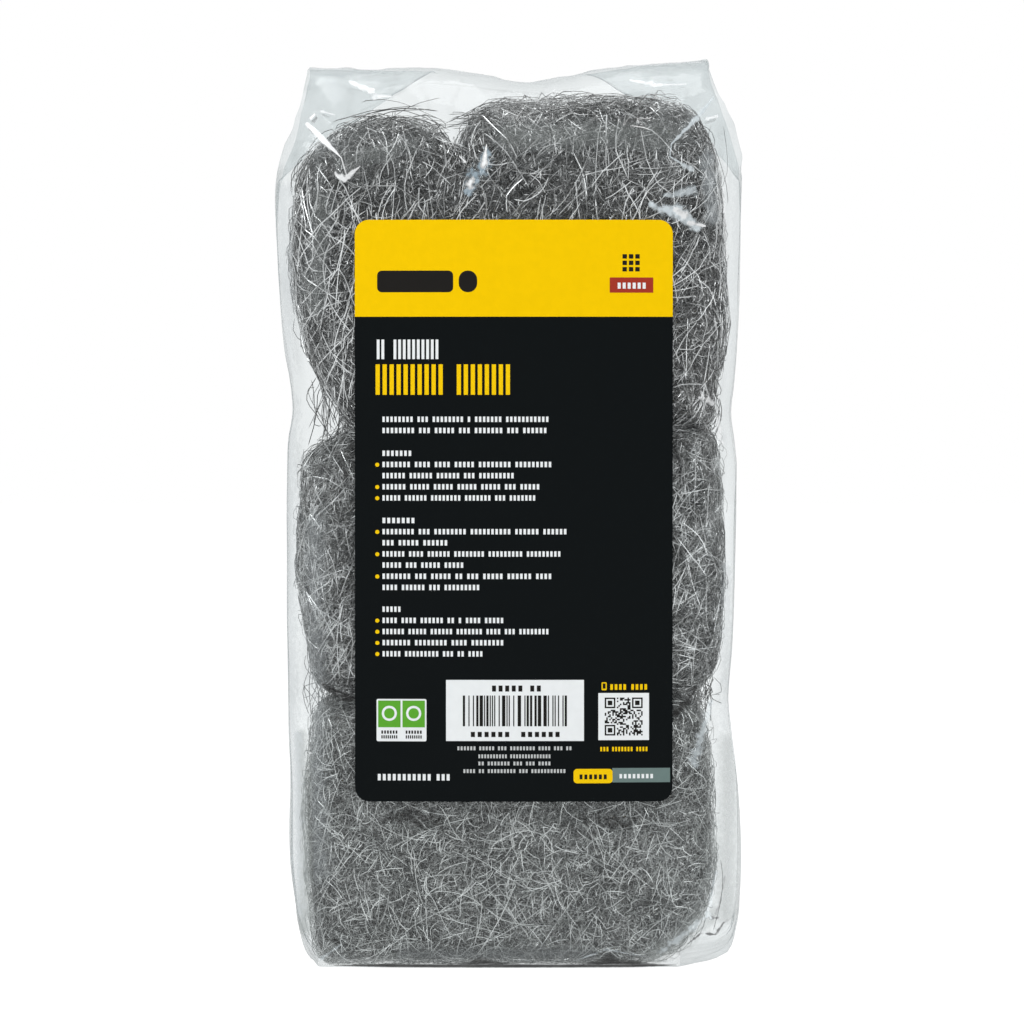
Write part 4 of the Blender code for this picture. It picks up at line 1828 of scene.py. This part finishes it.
    def titles(self) -> None:
        """Print what stands in the band and under it."""
        self.block(Ink.BLACK, 5.6, 127.4, 19.0, 5.4, 1.2)
        self.block(Ink.BLACK, 26.0, 127.4, 4.6, 5.4, 2.2)
        for row in range(3):
            for column in range(3):
                self.block(Ink.BLACK, 66.9 + 1.6 * column, 132.6 + 1.6 * row, 1.1, 1.1)
        self.block(Ink.BRICK, 63.7, 127.3, 10.9, 3.8)
        self.words(Ink.WHITE, 65.7, 128.3, 7.0, 1.5, (6,), layer=2)
        self.words(Ink.WHITE, 5.5, 110.7, 15.4, 4.9, (1, 5), bars=2)
        self.words(Ink.YELLOW, 5.2, 101.8, 33.6, 7.6, (5, 4), bars=2)

    def paragraphs(self) -> None:
        """Print the four paragraphs and their bullets."""
        pitch = 2.79
        tall = 1.35
        paragraphs = [
            (95.0, [(41.5, False, (8, 3, 8, 1, 7, 11)), (41.0, False, (8, 3, 5, 3, 7, 3, 6))]),
            (
                86.5,
                [
                    (7.2, False, (7,)),
                    (42.2, True, (7, 4, 4, 5, 8, 9)),
                    (32.8, False, (6, 6, 6, 3, 9)),
                    (39.2, True, (6, 5, 5, 5, 5, 3, 5)),
                    (38.2, True, (5, 6, 8, 7, 3, 7)),
                ],
            ),
            (
                69.7,
                [
                    (8.0, False, (7,)),
                    (46.0, True, (8, 3, 8, 10, 6, 6)),
                    (16.2, False, (3, 5, 6)),
                    (44.5, True, (6, 4, 6, 8, 9, 9)),
                    (20.2, False, (5, 3, 5, 5)),
                    (42.2, True, (7, 3, 5, 2, 3, 5, 6, 4)),
                    (24.2, False, (4, 6, 3, 9)),
                ],
            ),
            (
                47.5,
                [
                    (4.5, False, (5,)),
                    (30.2, True, (4, 4, 6, 2, 1, 4, 5)),
                    (41.5, True, (6, 5, 6, 7, 4, 3, 8)),
                    (30.2, True, (7, 8, 4, 8)),
                    (25.0, True, (5, 9, 3, 2, 4)),
                ],
            ),
        ]
        for top, lines in paragraphs:
            for k, (length, bullet, counts) in enumerate(lines):
                low = top - pitch * k
                self.words(Ink.WHITE, 6.9, low, length, tall, counts)
                if bullet:
                    self.block(Ink.YELLOW, 5.1, low + 0.1, 1.0, 1.0, 0.45)

    def marks(self) -> None:
        """Print the panels along the foot."""
        self.block(Ink.WHITE, 5.4, 15.1, 12.5, 10.6, 0.4)
        for left in (5.8, 11.9):
            self.block(Ink.GREEN, left, 18.6, 5.6, 6.7, layer=2)
            self.block(Ink.WHITE, left + 0.9, 20.2, 3.8, 3.8, 1.85, layer=3)
            self.block(Ink.GREEN, left + 1.5, 20.8, 2.6, 2.6, 1.25, layer=4)
            self.words(Ink.BLACK, left + 0.8, 17.0, 4.0, 0.8, (6,), layer=2)
            self.words(Ink.BLACK, left + 0.8, 15.8, 4.0, 0.8, (8,), layer=2)
        self.block(Ink.WHITE, 22.8, 15.2, 34.5, 15.3)
        self.words(Ink.BLACK, 34.3, 27.6, 12.2, 1.5, (5, 2), layer=2)
        at = 27.0
        while at < 52.9:
            wide = float(self.random.choice((0.28, 0.28, 0.56, 0.84)))
            self.block(Ink.BLACK, at, 18.9, wide, 7.7, layer=2)
            at += wide + float(self.random.choice((0.28, 0.28, 0.56, 0.84)))
        self.words(Ink.BLACK, 29.0, 16.2, 9.6, 1.3, (6,), layer=2)
        self.words(Ink.BLACK, 41.6, 16.2, 9.6, 1.3, (6,), layer=2)
        small = ((12.9, 28.5, (6, 5, 3, 8, 4, 3, 2)), (10.9, 18.0, (10, 14)), (9.1, 18.0, (2, 7, 3, 3, 4)))
        for low, length, counts in (*small, (7.2, 25.5, (4, 2, 9, 3, 11))):
            self.words(Ink.GREY, 39.9 - length / 2, low, length, 0.95, counts)
        self.words(Ink.YELLOW, 63.9, 28.0, 9.2, 1.4, (4, 4))
        self.block(Ink.YELLOW, 61.7, 27.9, 1.3, 2.0, 0.3)
        self.block(Ink.BLACK, 62.0, 28.3, 0.7, 1.3, layer=2)
        self.words(Ink.YELLOW, 61.4, 12.6, 11.8, 1.1, (3, 7, 4))
        self.pattern_panel(60.9, 15.4, 12.7, 11.8)
        self.words(Ink.WHITE, 5.7, 5.3, 18.0, 1.6, (11, 3))
        self.block(Ink.YELLOW, 54.7, 4.6, 9.8, 3.6, 0.9)
        self.words(Ink.BLACK, 56.2, 5.6, 6.8, 1.2, (6,), layer=2)
        self.block(Ink.SLATE, 64.4, 4.8, 14.5, 3.6)
        self.words(Ink.WHITE, 66.2, 5.8, 8.4, 1.1, (8,), layer=2)

    def pattern_panel(self, x: float, z: float, width: float, height: float) -> None:
        """Print a white panel with a field of small random squares and a frame in three corners.

        Args:
            x: its left edge.
            z: its lower edge.
            width: its width.
            height: its height.
        """
        self.block(Ink.WHITE, x, z, width, height)
        cells, framed = 25, 8
        size = 9.5 / cells
        left, low = x + (width - cells * size) / 2, z + (height - cells * size) / 2
        far = cells - framed
        for row in range(cells):
            for column in range(cells):
                in_frame = (row < framed or row >= far) and (column < framed or column >= far)
                spare = row < framed and column >= far
                if (in_frame and not spare) or self.random.random() < 0.5:
                    continue
                self.block(Ink.BLACK, left + column * size, low + row * size, size, size, layer=2)
        for column, row in ((0, 0), (0, far + 1), (far + 1, far + 1)):
            place = left + column * size, low + row * size
            for inset, ink in enumerate((Ink.BLACK, Ink.WHITE, Ink.BLACK)):
                edge = (framed - 1 - 2 * inset) * size
                self.block(
                    ink, place[0] + inset * size, place[1] + inset * size, edge, edge, layer=2 + inset
                )

    def make(self) -> None:
        """Build the label."""
        sheet = self.sheet()
        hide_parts("label")
        self.titles()
        self.paragraphs()
        self.marks()
        colours = {
            Ink.WHITE: (0.78, 0.81, 0.82),
            Ink.YELLOW: (0.86, 0.55, 0.0),
            Ink.BLACK: (0.011, 0.010, 0.009),
            Ink.BRICK: (0.34, 0.035, 0.018),
            Ink.GREEN: (0.10, 0.36, 0.03),
            Ink.SLATE: (0.14, 0.20, 0.19),
            Ink.GREY: (0.50, 0.52, 0.52),
        }
        pieces = [sheet]
        for ink, bm in self.inks.items():
            material = InkFinish(f"ink_{ink.value}", colours[ink]).make()
            pieces.append(new_piece(f"print_{ink.value}", bm, material))
        for piece in pieces:
            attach(piece, ROOT)
            report(piece)


@dataclass
class Studio:
    """The pale floor, the soft lights and the camera."""

    distance: float = 1.2
    frame_width: float = 256.0 * MM
    centre: tuple[float, float] = (0.75 * MM, 114.5 * MM)
    front: float = -36.0 * MM
    elevation: float = 1.2
    ambient: float = 0.45
    room: float = 0.5

    def make(self) -> None:
        """Build everything round the pack."""
        self.floor()
        self.world()
        self.lamp("key", (-0.75, -0.85, 0.85), (0.7, 0.7), 8.6)
        self.lamp("fill", (0.95, -0.8, 0.45), (0.8, 0.8), 3.6)
        self.lamp("top", (0.1, 0.1, 1.0), (0.7, 0.5), 4.0)
        self.camera()

    def floor(self) -> None:
        """Lay a wide pale floor that keeps a faint shadow."""
        bm = bmesh.new()
        bmesh.ops.create_grid(bm, x_segments=1, y_segments=1, size=6.0)
        made, tree = new_material("studio_floor")
        pale = tree.node("ShaderNodeBsdfDiffuse", inputs={"Color": (0.86, 0.86, 0.86)})
        glow = tree.node("ShaderNodeEmission", inputs={"Color": (1.0, 1.0, 1.0), "Strength": 1.2})
        share = self.seen_straight(tree) * 0.8
        tree.finish(tree.node("ShaderNodeMixShader", inputs={0: share, 1: pale, 2: glow}))
        floor = new_piece("studio_floor", bm, made)

    def seen_straight(self, tree: ShaderTree) -> Wire:
        """Return 1 for what the camera sees straight, by gloss or through clear film."""
        path = [
            tree.node("ShaderNodeLightPath", output=name)
            for name in ("Is Camera Ray", "Is Glossy Ray", "Is Transmission Ray")
        ]
        return path[0].larger(path[1]).larger(path[2])

    def world(self) -> None:
        """Light the pack softly from all round, before a white backdrop and a dimmer room."""
        world = bpy.data.worlds.new("studio")
        bpy.context.scene.world = world
        world.use_nodes = True
        tree = ShaderTree(world.node_tree, "ShaderNodeOutputWorld")
        way = tree.node("ShaderNodeTexCoord", output="Generated")
        back = tree.node("ShaderNodeSeparateXYZ", inputs={0: way}, output=1)
        camera = tree.node("ShaderNodeLightPath", output="Is Camera Ray")
        backdrop = back.eased(-0.25, 0.1, self.room, 1.0)
        white = self.seen_straight(tree) * backdrop.larger(camera)
        strength = white.larger(self.ambient * (1.0 - self.seen_straight(tree)))
        tree.finish(
            tree.node("ShaderNodeBackground", inputs={"Color": (1.0, 1.0, 1.0), "Strength": strength})
        )

    def lamp(self, name: str, place: tuple[float, float, float], size: Span, power: float) -> None:
        """Hang a soft lamp that looks at the pack's middle.

        Args:
            name: the lamp's name.
            place: where it hangs.
            size: its width and height.
            power: its power in watts.
        """
        data = bpy.data.lights.new(name, "AREA")
        data.shape = "RECTANGLE"
        data.size, data.size_y = size
        data.energy = power
        lamp = bpy.data.objects.new(name, data)
        lamp.location = place
        aim = Vector((0.0, 0.0, 0.12)) - Vector(place)
        lamp.rotation_euler = aim.to_track_quat("-Z", "Y").to_euler()
        bpy.context.scene.collection.objects.link(lamp)

    def camera(self) -> None:
        """Set the camera a little above the pack's middle with a long lens."""
        data = bpy.data.cameras.new("camera")
        data.sensor_width = 36.0
        data.lens = 36.0 * self.distance / self.frame_width
        camera = bpy.data.objects.new("camera", data)
        rise = math.radians(self.elevation)
        aim = Vector((self.centre[0], self.front, self.centre[1]))
        camera.location = aim + self.distance * Vector((0.0, -math.cos(rise), math.sin(rise)))
        camera.rotation_euler = (math.pi / 2 - rise, 0.0, 0.0)
        data.clip_start, data.clip_end = 0.05, 50.0
        bpy.context.scene.collection.objects.link(camera)
        bpy.context.scene.camera = camera


def main() -> None:
    """Build the pack, the label and the studio."""
    logging.basicConfig(level=logging.INFO, format="%(message)s")
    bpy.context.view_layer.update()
    bag = FilmBag()
    WoolStack(bag).make()
    bag.make(FilmFinish())
    PrintedLabel().make()
    Studio().make()
    bpy.context.scene.view_settings.view_transform = "Standard"


if __name__ == "__main__":
    main()
